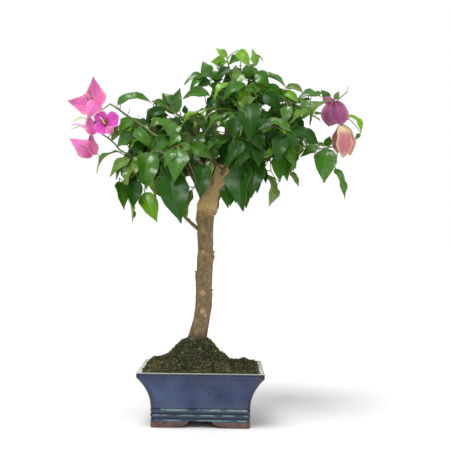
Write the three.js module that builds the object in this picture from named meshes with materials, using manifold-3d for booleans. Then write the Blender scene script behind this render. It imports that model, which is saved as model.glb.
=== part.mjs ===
// A bougainvillea grown as a small tree, planted in a glazed rectangular pot.
// Millimetres, +Z up. Everything is laid out from the middle of the pot's foot, on the
// surface that the pot stands on, and the finished plant is then moved so that the origin
// lies under the middle of its whole outline.

import * as THREE from "three";
import { mergeVertices } from "three/addons/utils/BufferGeometryUtils.js";
import Module from "manifold-3d";

const wasm = await Module();
wasm.setup();

// Clearance left wherever one piece meets another.
const GAP = 0.3;

// The pot: a rectangle with a lip, walls that sweep in to a waist, and a banded plinth on feet.
const POT = {
  length: 180,
  depth: 135,
  height: 80,
  corner: 5,
  wall: 7,
  edge: 1,
  lipHeight: 73,
  waistHeight: 28.5,
  waistInset: 18.9,
  wallRings: 7,
  insideRings: 4,
  floorTop: 18,
  floorUnderside: 11,
  footWall: 8,
};

// The plinth's outline as height and inset from the rim: foot, lower band, two beads.
const PLINTH = [
  [0, 19.3],
  [8.2, 19.3],
  [8.6, 18.6],
  [13, 18.6],
  [13.8, 20.1],
  [14.6, 18.7],
  [19.4, 18.7],
  [20.3, 20.2],
  [21.2, 19],
  [27, 19],
];

// The opening between two feet, as half widths on the long side, and heights. Its outline
// swells by a little between them.
const ARCH = { foot: 42, shoulder: 22, crown: 16, shoulderHeight: 4.5, height: 10, swell: 0.9 };

// The moss over the soil: its height at the rim, how much it swells to the middle, and its
// lumps. Then the mound that it makes round the trunk's foot, with a flat seat on top.
const MOSS = { edge: 77, swell: 7, lump: 0.9, lumpSizes: [6.1, 9.7, 5.3, 11.9], cells: [16, 13] };
const MOUND = { x: -8, y: 0, top: 119, seat: 15, foot: 58, lumpier: 3 };

// The trunk: its centreline from below the mound's top to the pruned end, and its radii.
const TRUNK_LINE = [
  [-11.5, 0, 104],
  [-5, 0, 132],
  [1, 1, 170],
  [1.3, 1, 206],
  [3.1, -1, 246],
  [2.5, -1, 284],
  [3.9, 0, 309],
  [11.6, 1, 334],
  [29, -1, 376],
];
const TRUNK = {
  foot: 12.3,
  end: 9.2,
  flare: 2.4,
  flareHeight: 8,
  knot: 3.6,
  knotAt: 316,
  knotHeight: 14,
  sides: 12,
  rings: 26,
};

// Spurs of old thorns that stand out of the trunk: height, turn about the trunk, length. Each
// is a small cone, sunk into the wood.
const SPURS = [
  [246, 0, 7],
  [218, 180, 8],
  [190, -10, 7],
];
const SPUR = { radius: 2.4, sides: 5, sunk: 2 };

// Boughs, each named for its place: the limb it leaves and how far along that, the point it
// bends towards, its tip, and its radii from root to tip.
const BOUGHS = [
  { place: "low_left", from: "trunk", at: 0.59, bend: [-29, -6, 296], tip: [-57, -14, 336], radii: [2.8, 2] },
  { place: "left", from: "trunk", at: 0.82, bend: [-15, 16, 352], tip: [-45, 6, 408], radii: [3.6, 2.2] },
  { place: "upper_left", from: "trunk", at: 0.97, bend: [1, -4, 404], tip: [-25, -6, 430], radii: [3, 1.9] },
  { place: "top", from: "trunk", at: 0.99, bend: [38, 0, 420], tip: [26, 2, 458], radii: [4.2, 2.4] },
  { place: "upper_right", from: "top", at: 0.3, bend: [54, 14, 432], tip: [77, 8, 444], radii: [3.2, 2] },
  { place: "right", from: "trunk", at: 0.96, bend: [69, 0, 382], tip: [107, 4, 410], radii: [4, 2.2] },
  { place: "low_right", from: "right", at: 0.4, bend: [75, -30, 388], tip: [91, -38, 382], radii: [2.8, 2] },
  { place: "front_left", from: "trunk", at: 0.9, bend: [1, -34, 374], tip: [-17, -56, 392], radii: [3.2, 2] },
  { place: "front_right", from: "trunk", at: 0.94, bend: [43, -34, 392], tip: [55, -62, 402], radii: [3, 2] },
  { place: "back_left", from: "trunk", at: 0.88, bend: [1, 36, 370], tip: [-17, 58, 392], radii: [3.4, 2] },
  { place: "back_right", from: "trunk", at: 0.93, bend: [45, 34, 386], tip: [61, 60, 402], radii: [3.4, 2] },
  { place: "back_top", from: "top", at: 0.55, bend: [37, 24, 444], tip: [34, 42, 452], radii: [2.8, 1.9] },
];
const BOUGH = { sides: 6, rings: 7 };

// Foliage, one mass at the end of each bough: its middle, how far it reaches, how many side
// shoots it may have, and how steeply its leaves hang, from 0, level, to 1, straight down.
const MASSES = [
  { place: "low_left", centre: [-81, -18, 352], reach: [56, 56, 66], shoots: 12, hang: 0.75, seed: 3 },
  { place: "left", centre: [-83, 4, 424], reach: [66, 68, 66], shoots: 16, hang: 0.4, seed: 5 },
  { place: "upper_left", centre: [-33, -8, 448], reach: [66, 68, 56], shoots: 15, hang: 0.35, seed: 7 },
  { place: "top", centre: [43, -6, 498], reach: [70, 66, 58], shoots: 16, hang: 0.2, seed: 43 },
  { place: "upper_right", centre: [99, 2, 462], reach: [72, 68, 54], shoots: 15, hang: 0.35, seed: 13 },
  { place: "right", centre: [147, 4, 426], reach: [72, 70, 66], shoots: 16, hang: 0.5, seed: 17 },
  { place: "low_right", centre: [103, -34, 384], reach: [60, 56, 58], shoots: 18, hang: 0.8, seed: 19 },
  { place: "front_left", centre: [-35, -84, 388], reach: [68, 60, 92], shoots: 16, hang: 0.65, seed: 23 },
  { place: "front_right", centre: [61, -88, 398], reach: [68, 60, 88], shoots: 16, hang: 0.65, seed: 29 },
  { place: "back_left", centre: [-39, 86, 398], reach: [70, 58, 76], shoots: 12, hang: 0.6, seed: 31 },
  { place: "back_right", centre: [79, 88, 404], reach: [70, 58, 74], shoots: 13, hang: 0.6, seed: 37 },
  { place: "back_top", centre: [31, 72, 466], reach: [68, 54, 58], shoots: 13, hang: 0.4, seed: 41 },
];

// Long shoots that stand out of a mass: how far along the mass's stem each has its root, the
// points that it passes, and how far along it has leaves. Beyond them it flowers.
const LONG_SHOOTS = {
  upper_left: {
    mass: "left",
    root: 0.5,
    leafy: 0.5,
    through: [[-98, -8, 440], [-133, -12, 459], [-159, -14, 471]],
  },
  lower_left: {
    mass: "left",
    root: 0.75,
    leafy: 0.5,
    through: [[-127, -6, 402], [-151, -8, 417], [-163, -6, 425]],
  },
  upper_right: {
    mass: "right",
    root: 0.6,
    leafy: 0.3,
    through: [[165, -4, 456], [189, -8, 475], [208, -9, 490]],
  },
  low_right: {
    mass: "right",
    root: 0.7,
    leafy: 1,
    through: [[157, -6, 402], [175, -8, 404], [193, -8, 398]],
  },
  right_loop: {
    mass: "right",
    root: 0.9,
    leafy: 0.25,
    through: [
      [179, -8, 440],
      [198, -10, 451],
      [212, -10, 454],
      [230, -10, 443],
      [230, -10, 429],
      [220, -10, 420],
    ],
  },
};

// Blossoms, by the shoot that carries them: the foot of the three bracts, the way they open,
// a bract's length and its width as a share of that, and how far, in degrees, the bracts
// spread from that way and are turned about it.
const BLOSSOMS = {
  upper_left: [
    { at: [-164, -14, 453], faces: [-0.46, -0.64, 0.62], bract: 46, breadth: 0.8, spread: 48, turn: 14 },
    { at: [-147, -20, 436], faces: [0.25, -0.9, 0.1], bract: 28, breadth: 0.9, spread: 56, turn: 70 },
  ],
  lower_left: [
    { at: [-163, 0, 433], faces: [-0.9, 0.1, 0.1], bract: 27, breadth: 0.7, spread: 36, turn: 0 },
    { at: [-158, -12, 400], faces: [-0.7, -0.45, 0.5], bract: 42, breadth: 0.88, spread: 48, turn: 34 },
  ],
  upper_right: [
    { at: [188, -8, 469], faces: [0.1, -0.15, -0.95], bract: 36, breadth: 0.74, spread: 36, turn: 10 },
  ],
  right_loop: [
    { at: [200, -10, 438], faces: [0.1, -0.1, -0.98], bract: 45, breadth: 0.6, spread: 27, turn: 50 },
  ],
};

// Twigs: radii from root to tip, and how finely they are drawn. A mass's stem starts straight
// on from its bough. Side shoots reach for the mass's surface, and lift above a straight line.
const STEM = { radii: [2.1, 1.3], sides: 4, rings: 4, straight: 5, bend: 0.4, past: 0.5, firstShoot: 0.16 };
const SHOOT = { radii: [1.3, 0.7], sides: 3, rings: 2, lift: 0.16, fill: 0.7, inward: -0.6, apart: 6 };
const STALK = { radii: [1, 1], sides: 3, rings: 1, nearest: 0.4, past: 1 };

// Leaves: lengths, and shares of the length. Sunk is how far a root goes past its twig's axis.
const LEAF = {
  shortest: 50,
  longest: 70,
  sizes: [1, 0.75],
  atTip: 0.85,
  width: 0.52,
  widestAt: 0.44,
  thickness: 0.018,
  arch: [0.05, 0.14],
  fold: [0.04, 0.12],
  sunk: 0.2,
};
const BRACT = { widestAt: 0.42, thickness: 0.03, cup: 0.16, fold: 0.11, apart: 1.4 };

// Where leaves stand: their spacing along a twig, the share of it that has them, how far they
// lean along it and out of the crown, and how freely they roll about their own length.
const GROWTH = {
  spacing: 9,
  from: 0.15,
  to: 0.985,
  fromOnStem: 0.5,
  forward: 0.35,
  outward: 0.45,
  droop: 0.75,
  hangs: [-0.3, 0.2],
  skyward: 0.6,
  roll: 1,
  tip: 0.9,
};

// The upright line that the crown grows out from.
const CROWN_AXIS = [21, 0, 400];

// How far a leaf turns about its shoot from the one before, and how often it may be turned
// again to find a free place.
const GOLDEN_ANGLE = Math.PI * (3 - Math.sqrt(5));
const TRIES = 9;

// Leaves keep this far from limbs, from other shoots and from each other, and masses from
// other masses.
const LIMB_CLEARANCE = 3;
const SHOOT_CLEARANCE = 3;
const LEAF_CLEARANCE = 4.5;
const MASS_CLEARANCE = 0.8;

// No leaf hangs in front of the trunk: the grower keeps it bare up to the pruned end.
const BARE_FRONT = { half: 15, below: 369 };

const vector = (values) => new THREE.Vector3(...values);
const UP = vector([0, 0, 1]);

function stepsBetween(low, high, count) {
  return Array.from({ length: count + 1 }, (_, i) => low + ((high - low) * i) / count);
}

// A seeded dice, so that the plant grows the same way every time.
class Dice {
  constructor(seed) {
    this.state = seed;
    for (let i = 0; i < 5; i++) this.next();
  }
  next() {
    this.state = (this.state * 16807) % 2147483647;
    return this.state / 2147483647;
  }
  between(low, high) {
    return low + (high - low) * this.next();
  }
}

// A closed geometry as a solid that can be joined and cut.
function solid(geometry) {
  const bare = geometry.clone();
  bare.deleteAttribute("normal");
  bare.deleteAttribute("uv");
  const merged = mergeVertices(bare, 1e-4);
  return new wasm.Manifold(
    new wasm.Mesh({
      numProp: 3,
      vertProperties: merged.attributes.position.array,
      triVerts: new Uint32Array(merged.index.array),
    }),
  );
}

// The largest closed body of a solid: loose scraps go, and sealed hollows fill.
function wholeBody(made) {
  return made.decompose().reduce((a, b) => (b.volume() > a.volume() ? b : a));
}

function geometryOf(made) {
  const { vertProperties, triVerts } = made.getMesh();
  const geometry = new THREE.BufferGeometry();
  geometry.setAttribute("position", new THREE.BufferAttribute(vertProperties, 3));
  geometry.setIndex(new THREE.BufferAttribute(triVerts, 1));
  geometry.computeVertexNormals();
  return geometry;
}

function piece(name, made, color, roughness) {
  const material = new THREE.MeshStandardMaterial({ color, roughness, metalness: 0 });
  const mesh = new THREE.Mesh(geometryOf(wholeBody(made)), material);
  mesh.name = name;
  return mesh;
}

// Moves every vertex of a geometry to where a function puts it.
function reshape(geometry, move) {
  const place = geometry.attributes.position;
  const vertex = new THREE.Vector3();
  for (let i = 0; i < place.count; i++) {
    move(vertex.fromBufferAttribute(place, i));
    place.setXYZ(i, vertex.x, vertex.y, vertex.z);
  }
  return geometry;
}

// A block with the pot's rounded outline, drawn in by an inset at each height.
function profiledBlock(profile) {
  const x = POT.length / 2 - POT.corner;
  const y = POT.depth / 2 - POT.corner;
  const outline = new THREE.Shape();
  outline.absarc(x, y, POT.corner, 0, Math.PI / 2);
  outline.absarc(-x, y, POT.corner, Math.PI / 2, Math.PI);
  outline.absarc(-x, -y, POT.corner, Math.PI, 1.5 * Math.PI);
  outline.absarc(x, -y, POT.corner, 1.5 * Math.PI, 2 * Math.PI);
  const steps = profile.length - 1;
  const settings = { depth: 1, steps, curveSegments: 2, bevelEnabled: false };
  return solid(
    reshape(new THREE.ExtrudeGeometry(outline, settings), (v) => {
      const [height, inset] = profile[Math.round(v.z * steps)];
      v.set(v.x - Math.sign(v.x) * inset, v.y - Math.sign(v.y) * inset, height);
    }),
  );
}

// How far the pot's outside stands in from the rim, between waist and lip.
function wallInset(height) {
  const share = (height - POT.waistHeight) / (POT.lipHeight - POT.waistHeight);
  return POT.waistInset * (1 - THREE.MathUtils.clamp(share, 0, 1) ** 2);
}

// The inside of the pot, kept off its walls and floor by a clearance.
function inside(clearance, top) {
  const floor = POT.floorTop + clearance;
  const walls = stepsBetween(POT.waistHeight + 4, POT.lipHeight - POT.edge, POT.insideRings);
  const heights = [floor, ...walls, top];
  return profiledBlock(heights.map((height) => [height, wallInset(height) + POT.wall + clearance]));
}

// The arched gap between two feet, cut right through along Y. Share narrows it for the ends.
function archThrough(share) {
  const [foot, shoulder, crown] = [ARCH.foot, ARCH.shoulder, ARCH.crown].map((half) => half * share);
  const toe = [(foot + shoulder) / 2, ARCH.swell];
  const hip = [(shoulder + crown) / 2, ARCH.shoulderHeight + ARCH.swell];
  const outline = new THREE.Shape();
  outline.moveTo(-foot, -1);
  outline.lineTo(-foot, 0);
  outline.quadraticCurveTo(-toe[0], toe[1], -shoulder, ARCH.shoulderHeight);
  outline.quadraticCurveTo(-hip[0], hip[1], -crown, ARCH.height);
  outline.lineTo(crown, ARCH.height);
  outline.quadraticCurveTo(...hip, shoulder, ARCH.shoulderHeight);
  outline.quadraticCurveTo(...toe, foot, 0);
  outline.lineTo(foot, -1);
  const run = 2 * POT.length;
  const arch = new THREE.ExtrudeGeometry(outline, { depth: run, curveSegments: 4, bevelEnabled: false });
  return arch.rotateX(Math.PI / 2).translate(0, run / 2, 0);
}

function makePot() {
  const heights = stepsBetween(POT.waistHeight, POT.lipHeight, POT.wallRings);
  const walls = heights.map((height) => [height, wallInset(height)]);
  const lip = [
    [POT.height - POT.edge, 0],
    [POT.height, POT.edge],
  ];
  const plinthInset = PLINTH[0][1];
  const under = profiledBlock([
    [-1, plinthInset + POT.footWall],
    [POT.floorUnderside, plinthInset + POT.footWall],
  ]);
  const endShare = (POT.depth - 2 * plinthInset) / (POT.length - 2 * plinthInset);
  return profiledBlock([...PLINTH, ...walls, ...lip])
    .subtract(inside(0, POT.height + 1))
    .subtract(under)
    .subtract(solid(archThrough(1)))
    .subtract(solid(archThrough(endShare).rotateZ(Math.PI / 2)));
}

// Height of the moss at a point, with a flat seat on the mound's top for the trunk.
function mossHeight(x, y) {
  const across = 1 - (x / (POT.length / 2)) ** 2;
  const along = 1 - (y / (POT.depth / 2)) ** 2;
  const [a, b, c, d] = MOSS.lumpSizes;
  const lumps = MOSS.lump * (Math.sin(x / a + y / b) + Math.sin(y / c - x / d));
  const field = MOSS.edge + MOSS.swell * Math.sqrt(Math.max(0, across * along)) + lumps;
  const from = Math.hypot(x - MOUND.x, y - MOUND.y);
  const rise = 1 - THREE.MathUtils.smoothstep(from, MOUND.seat, MOUND.foot);
  if (rise >= 1) return MOUND.top;
  return THREE.MathUtils.lerp(field, MOUND.top, rise) + lumps * rise * (1 - rise) * MOUND.lumpier;
}

function makeSoil() {
  const block = new THREE.BoxGeometry(POT.length, POT.depth, 2, ...MOSS.cells);
  const heap = reshape(block, (v) => {
    v.z = v.z > 0 ? mossHeight(v.x, v.y) : 0;
  });
  return solid(heap).intersect(inside(GAP, MOUND.top + 1));
}

// Two directions square to one, to turn about it.
function squareTo(way) {
  const first = way.clone().cross(Math.abs(way.z) > 0.9 ? vector([1, 0, 0]) : UP).normalize();
  return [first, way.clone().cross(first)];
}

// A line of straight stretches, so that what stands on it meets its faceted limb.
class Stretches extends THREE.Curve {
  constructor(points) {
    super();
    this.points = points;
  }
  getPoint(share, target = new THREE.Vector3()) {
    const last = this.points.length - 2;
    const at = THREE.MathUtils.clamp(share, 0, 1) * (last + 1);
    const i = Math.min(Math.floor(at), last);
    return target.lerpVectors(this.points[i], this.points[i + 1], at - i);
  }
}

// A round limb along a curve: a cylinder whose rings are set along it, at the radius there.
function limb(curve, radiusAt, { sides, rings }) {
  const [start] = squareTo(curve.getTangent(0));
  const tube = new THREE.CylinderGeometry(1, 1, 1, sides, rings);
  return solid(
    reshape(tube, (v) => {
      const share = Math.round((v.y + 0.5) * rings) / rings;
      const radius = radiusAt(share);
      const tangent = curve.getTangent(share);
      const out = start.clone().addScaledVector(tangent, -start.dot(tangent)).normalize();
      const across = out.clone().cross(tangent);
      const { x, z } = v;
      v.copy(curve.getPoint(share)).addScaledVector(out, x * radius).addScaledVector(across, z * radius);
    }),
  );
}

const trunkCurve = new THREE.CatmullRomCurve3(TRUNK_LINE.map(vector), false, "catmullrom", 0.5);

function trunkRadius(along) {
  const { z } = trunkCurve.getPoint(along);
  const flare = TRUNK.flare * Math.exp(-Math.max(0, z - MOUND.top) / TRUNK.flareHeight);
  const knot = TRUNK.knot * Math.exp(-(((z - TRUNK.knotAt) / TRUNK.knotHeight) ** 2));
  return THREE.MathUtils.lerp(TRUNK.foot, TRUNK.end, along ** 2) + flare + knot;
}

// How far along the trunk a height lies.
const trunkHeights = trunkCurve.getPoints(200).map(({ z }) => z);
function trunkShare(height) {
  return Math.max(0, trunkHeights.findIndex((z) => z >= height)) / (trunkHeights.length - 1);
}

function spur([height, turn, length]) {
  const share = trunkShare(height);
  const foot = trunkCurve.getPoint(share);
  const cone = new THREE.ConeGeometry(SPUR.radius, length, SPUR.sides).rotateZ(-Math.PI / 2);
  cone.translate(trunkRadius(share) - SPUR.sunk + length / 2, 0, 0);
  cone.rotateZ(THREE.MathUtils.degToRad(turn));
  return solid(cone.translate(foot.x, foot.y, foot.z));
}

// The trunk, cut off flat just above the mound. Grown makes it thicker, to cut its boughs clear.
function makeTrunk(grown) {
  const wood = limb(trunkCurve, (along) => trunkRadius(along) + grown, TRUNK);
  const below = new THREE.BoxGeometry(100, 100, 100).translate(0, 0, MOUND.top + GAP - 50);
  return SPURS.map(spur).reduce((a, b) => a.add(b), wood).subtract(solid(below));
}

// The curve and radii of the trunk and of every bough, by its place.
const limbs = new Map([["trunk", { curve: trunkCurve, radiusAt: trunkRadius }]]);
for (const { place, from, at, bend, tip, radii } of BOUGHS) {
  const start = limbs.get(from).curve.getPoint(at);
  const curve = new THREE.QuadraticBezierCurve3(start, vector(bend), vector(tip));
  limbs.set(place, { curve, radiusAt: (along) => THREE.MathUtils.lerp(...radii, along) });
}

// A bough, with its root cut clear of the limb that it leaves.
function makeBough({ place, from }) {
  const drawn = ({ curve, radiusAt }, grown) => limb(curve, (along) => radiusAt(along) + grown, BOUGH);
  const carrier = from === "trunk" ? makeTrunk(GAP) : drawn(limbs.get(from), GAP);
  return drawn(limbs.get(place), 0).subtract(carrier);
}

// Points along every limb with the radius there, for leaves to keep clear of.
const limbPoints = [...limbs.values()].flatMap(({ curve, radiusAt }) =>
  stepsBetween(0, 1, Math.ceil(curve.getLength() / LIMB_CLEARANCE)).map((along) => ({
    point: curve.getPoint(along),
    radius: radiusAt(along),
  })),
);

function clearOfLimbs(point) {
  return limbPoints.every((at) => at.point.distanceTo(point) > at.radius + LIMB_CLEARANCE);
}

// True if a point is on this mass's side of every other mass.
function inCell(point, mass) {
  const own = vector(mass.centre);
  return MASSES.every((other) => {
    if (other === mass) return true;
    const away = vector(other.centre).sub(own);
    const half = (away.length() - MASS_CLEARANCE) / 2;
    return point.clone().sub(own).dot(away.normalize()) < half;
  });
}

function inReach(point, mass) {
  return point.clone().sub(vector(mass.centre)).divide(vector(mass.reach)).length() < 1;
}

function inBareFront({ x, y, z }) {
  const trunk = trunkCurve.getPoint(trunkShare(z));
  return y < 0 && z < BARE_FRONT.below && Math.abs(x - trunk.x) < BARE_FRONT.half;
}

// True if a mass may grow at every one of some points.
function hasRoom(points, mass) {
  return points.every((p) => inCell(p, mass) && clearOfLimbs(p) && !inBareFront(p));
}

// True if no point of the first list comes within a distance of the second.
function apart(points, others, distance) {
  return points.every((p) => others.every((q) => p.distanceTo(q) > distance));
}

// A thin blade of eight faces. Root to tip is its length, and side is across it: it is
// widest part way along, arched off the line from root to tip, and folded along its rib.
function blade({ root, along, side, face, length, width, widestAt, arch, fold, thickness }) {
  return solid(
    reshape(new THREE.OctahedronGeometry(1), (v) => {
      const { x, y, z } = v;
      const end = Math.abs(x) > 0.5;
      const share = end ? Math.max(0, x) : widestAt;
      const off = end ? 0 : arch + fold * Math.abs(y) + (thickness / 2) * z;
      v.copy(root)
        .addScaledVector(along, length * share)
        .addScaledVector(side, (width / 2) * y)
        .addScaledVector(face, off);
    }),
  );
}

// Points spread over a blade, to test whether it has room.
function bladePoints({ root, along, side, face, length, width, widestAt, arch, fold }) {
  return stepsBetween(0.14, 1, 7).flatMap((share) => {
    const open = share < widestAt ? share / widestAt : (1 - share) / (1 - widestAt);
    return stepsBetween(-1, 1, 4).map((edge) =>
      root
        .clone()
        .addScaledVector(along, length * share)
        .addScaledVector(side, (edge * open * width) / 2)
        .addScaledVector(face, open * (arch + fold * Math.abs(edge))),
    );
  });
}

// Every way that a leaf may stand on a shoot: turned about it bit by bit, first full size and
// then smaller. It leans along the shoot and out of the crown, and hangs as its mass does.
function leafChoices(mass, curve, share, turn, dice) {
  const tangent = curve.getTangent(share);
  const [first, second] = squareTo(tangent);
  const start = curve.getPoint(share);
  const outward = start.clone().sub(vector(CROWN_AXIS)).setZ(0).normalize();
  const longest = dice.between(LEAF.shortest, LEAF.longest) * (share > GROWTH.tip ? LEAF.atTip : 1);
  const hang = mass.hang + dice.between(...GROWTH.hangs);
  const roll = dice.between(-GROWTH.roll, GROWTH.roll);
  const arch = dice.between(...LEAF.arch);
  const fold = dice.between(...LEAF.fold);
  return LEAF.sizes.flatMap((size) =>
    stepsBetween(0, 2 * Math.PI, TRIES).slice(1).map((angle) => {
      const length = longest * size;
      const along = first
        .clone()
        .multiplyScalar(Math.cos(turn + angle))
        .addScaledVector(second, Math.sin(turn + angle))
        .addScaledVector(tangent, GROWTH.forward)
        .addScaledVector(outward, GROWTH.outward)
        .normalize()
        .multiplyScalar(1 - hang * GROWTH.droop)
        .addScaledVector(UP, -hang)
        .normalize();
      const across = outward.clone().addScaledVector(UP, GROWTH.skyward).cross(along).normalize();
      const side = across.applyAxisAngle(along, roll);
      return {
        root: start.clone().addScaledVector(along, -LEAF.sunk),
        along,
        side,
        face: along.clone().cross(side),
        length,
        width: length * LEAF.width,
        widestAt: LEAF.widestAt,
        arch: length * arch,
        fold: length * fold,
        thickness: length * LEAF.thickness,
      };
    }),
  );
}

// The leaves of one shoot: at each place along it the first choice that has room. A leaf keeps
// to its mass's space, and clear of all limbs, of the other shoots and of the leaves before it.
// Only on a long shoot may it stand out beyond the mass's reach.
function leavesOf(mass, shoot, [from, to], others, placed, dice) {
  const twigs = others.flatMap(({ curve }) => curve.getPoints(12));
  const count = Math.max(1, Math.round((shoot.curve.getLength() * (to - from)) / GROWTH.spacing));
  const firstTurn = dice.between(0, 2 * Math.PI);
  return stepsBetween(from, to, count).flatMap((share, i) => {
    const choices = leafChoices(mass, shoot.curve, share, firstTurn + i * GOLDEN_ANGLE, dice);
    const leaf = choices.find((choice) => {
      const points = bladePoints(choice);
      return (
        (shoot.long || points.every((p) => inReach(p, mass))) &&
        hasRoom(points, mass) &&
        apart(points, twigs, SHOOT_CLEARANCE) &&
        apart(points, placed, LEAF_CLEARANCE)
      );
    });
    if (!leaf) return [];
    placed.push(...bladePoints(leaf));
    return [blade(leaf)];
  });
}

// The stem that goes on from a mass's bough: through the mass's middle, towards its far side.
function stemOf(mass) {
  const { curve } = limbs.get(mass.place);
  const heading = curve.getTangent(1);
  const start = curve.getPoint(1).addScaledVector(heading, GAP);
  const centre = vector(mass.centre);
  const end = centre.clone().lerp(start, -STEM.past);
  const knee = start.clone().addScaledVector(heading, STEM.straight);
  const bend = knee.clone().addScaledVector(heading, knee.distanceTo(end) * STEM.bend);
  const rest = new THREE.QuadraticBezierCurve3(knee, bend, end).getPoints(STEM.rings - 1);
  return { curve: new Stretches([start, ...rest]), ...STEM };
}

// The long shoots of a mass, each with the blossoms that it carries.
function longShoots(mass, stem) {
  return Object.entries(LONG_SHOOTS)
    .filter(([, shoot]) => shoot.mass === mass.place)
    .map(([name, { root, through, leafy }]) => {
      const points = [stem.curve.getPoint(root), ...through.map(vector)];
      const rings = 2 * points.length;
      const smooth = new THREE.CatmullRomCurve3(points, false, "catmullrom", 0.5);
      const curve = new Stretches(smooth.getPoints(rings));
      return { ...SHOOT, curve, rings, leafy, long: true, blossoms: BLOSSOMS[name] ?? [] };
    });
}

// Directions spread evenly over a sphere.
function evenDirections(count, turn) {
  return stepsBetween(0, count - 1, count - 1).map((i) => {
    const z = 1 - (2 * i + 1) / count;
    const flat = Math.sqrt(1 - z * z);
    const angle = i * GOLDEN_ANGLE + turn;
    return vector([flat * Math.cos(angle), flat * Math.sin(angle), z]);
  });
}

// Shoots that leave a mass's stem in turn, each for its own part of the mass's surface.
function sideShoots(mass, stem, dice) {
  const centre = vector(mass.centre);
  const outward = centre.clone().sub(vector(CROWN_AXIS)).normalize();
  const heading = stem.curve.getPoint(1).sub(stem.curve.getPoint(0)).normalize();
  const aims = evenDirections(mass.shoots, dice.between(0, 2 * Math.PI))
    .filter((aim) => aim.dot(outward) > SHOOT.inward)
    .sort((a, b) => a.dot(heading) - b.dot(heading));
  const taken = [];
  return aims.flatMap((aim, i) => {
    const share = THREE.MathUtils.lerp(STEM.firstShoot, 1, (i + 0.5) / aims.length);
    const root = stem.curve.getPoint(share);
    const tip = centre.clone().addScaledVector(aim.clone().multiply(vector(mass.reach)), SHOOT.fill);
    const bend = root.clone().lerp(tip, 0.5).addScaledVector(UP, root.distanceTo(tip) * SHOOT.lift);
    const smooth = new THREE.QuadraticBezierCurve3(root, bend, tip);
    const curve = new Stretches(smooth.getPoints(SHOOT.rings));
    const points = stepsBetween(0.2, 1, 10).map((along) => curve.getPoint(along));
    if (!hasRoom(points, mass) || !apart(points, taken, SHOOT.apart)) return [];
    taken.push(...points);
    return [{ ...SHOOT, curve }];
  });
}

function twig({ curve, radii, sides, rings }) {
  return limb(curve, (along) => THREE.MathUtils.lerp(...radii, along), { sides, rings });
}

// A blossom: three broad bracts round the way it faces, on a stalk from its shoot.
function blossomOn(shoot, { at, faces, bract, breadth, spread, turn }) {
  const foot = vector(at);
  const axis = vector(faces).normalize();
  const points = stepsBetween(STALK.nearest, 1, 40).map((share) => shoot.curve.getPoint(share));
  const start = points.reduce((a, b) => (b.distanceTo(foot) < a.distanceTo(foot) ? b : a));
  const heading = foot.clone().sub(start).normalize();
  const open = THREE.MathUtils.degToRad(spread);
  const bracts = [0, 1, 2].map((i) => {
    const around = THREE.MathUtils.degToRad(i * 120 + turn);
    const out = squareTo(axis)[0].applyAxisAngle(axis, around);
    const along = axis.clone().multiplyScalar(Math.cos(open)).addScaledVector(out, Math.sin(open));
    const side = axis.clone().cross(along).normalize();
    const seat = foot.clone().addScaledVector(heading, -i * BRACT.apart);
    return blade({
      root: seat.addScaledVector(along, -LEAF.sunk),
      along,
      side,
      face: along.clone().cross(side),
      length: bract,
      width: bract * breadth,
      widestAt: BRACT.widestAt,
      arch: -bract * BRACT.cup,
      fold: bract * BRACT.fold,
      thickness: bract * BRACT.thickness,
    });
  });
  const curve = new THREE.LineCurve3(start, foot.clone().addScaledVector(heading, STALK.past));
  return [twig({ ...STALK, curve }), ...bracts];
}

// A mass of foliage: a stem that goes on from its bough, long shoots with their blossoms, and
// side shoots, each with its leaves. A side shoot that has no room for a leaf is left out.
function makeMass(mass) {
  const dice = new Dice(mass.seed);
  const stem = stemOf(mass);
  const sides = sideShoots(mass, stem, dice);
  const longs = longShoots(mass, stem);
  const all = [stem, ...longs, ...sides];
  const placed = [];
  const leavesOn = (shoot, range) => {
    const others = all.filter((other) => other !== shoot);
    return leavesOf(mass, shoot, range, others, placed, dice);
  };

  const solids = [twig(stem)];
  for (const shoot of longs) {
    solids.push(twig(shoot), ...shoot.blossoms.flatMap((blossom) => blossomOn(shoot, blossom)));
    solids.push(...leavesOn(shoot, [GROWTH.from, GROWTH.to * shoot.leafy]));
  }
  for (const shoot of sides) {
    const leaves = leavesOn(shoot, [GROWTH.from, GROWTH.to]);
    if (leaves.length) solids.push(twig(shoot), ...leaves);
  }
  solids.push(...leavesOn(stem, [GROWTH.fromOnStem, GROWTH.to]));
  return solids.reduce((a, b) => a.add(b));
}

const plant = new THREE.Group();
plant.add(piece("pot", makePot(), 0x3b4a86, 0.25));
plant.add(piece("moss_and_soil", makeSoil(), 0x3d4a1c, 0.95));
plant.add(piece("trunk", makeTrunk(0), 0x8d7450, 0.85));
for (const bough of BOUGHS) plant.add(piece(`${bough.place}_bough`, makeBough(bough), 0x7a5c48, 0.85));
for (const mass of MASSES) plant.add(piece(`${mass.place}_foliage`, makeMass(mass), 0x2f6b1e, 0.5));

// The origin: under the middle of the whole outline, on the surface that the pot stands on.
const outline = new THREE.Box3().setFromObject(plant);
const middle = outline.getCenter(new THREE.Vector3());
plant.position.set(-middle.x, -middle.y, -outline.min.z);

export default plant;
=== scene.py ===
# %% [markdown]
# # A bougainvillea grown as a small tree
#
# The real plant is a bonsai: one straight trunk, a wide crown of glossy leaves, papery pink
# bracts at the ends of its longest shoots, and a flared glazed pot full of mossy soil. Its
# CAD model already fixes every size. This lesson keeps those sizes and gives each part the
# surface of the real one.

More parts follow.
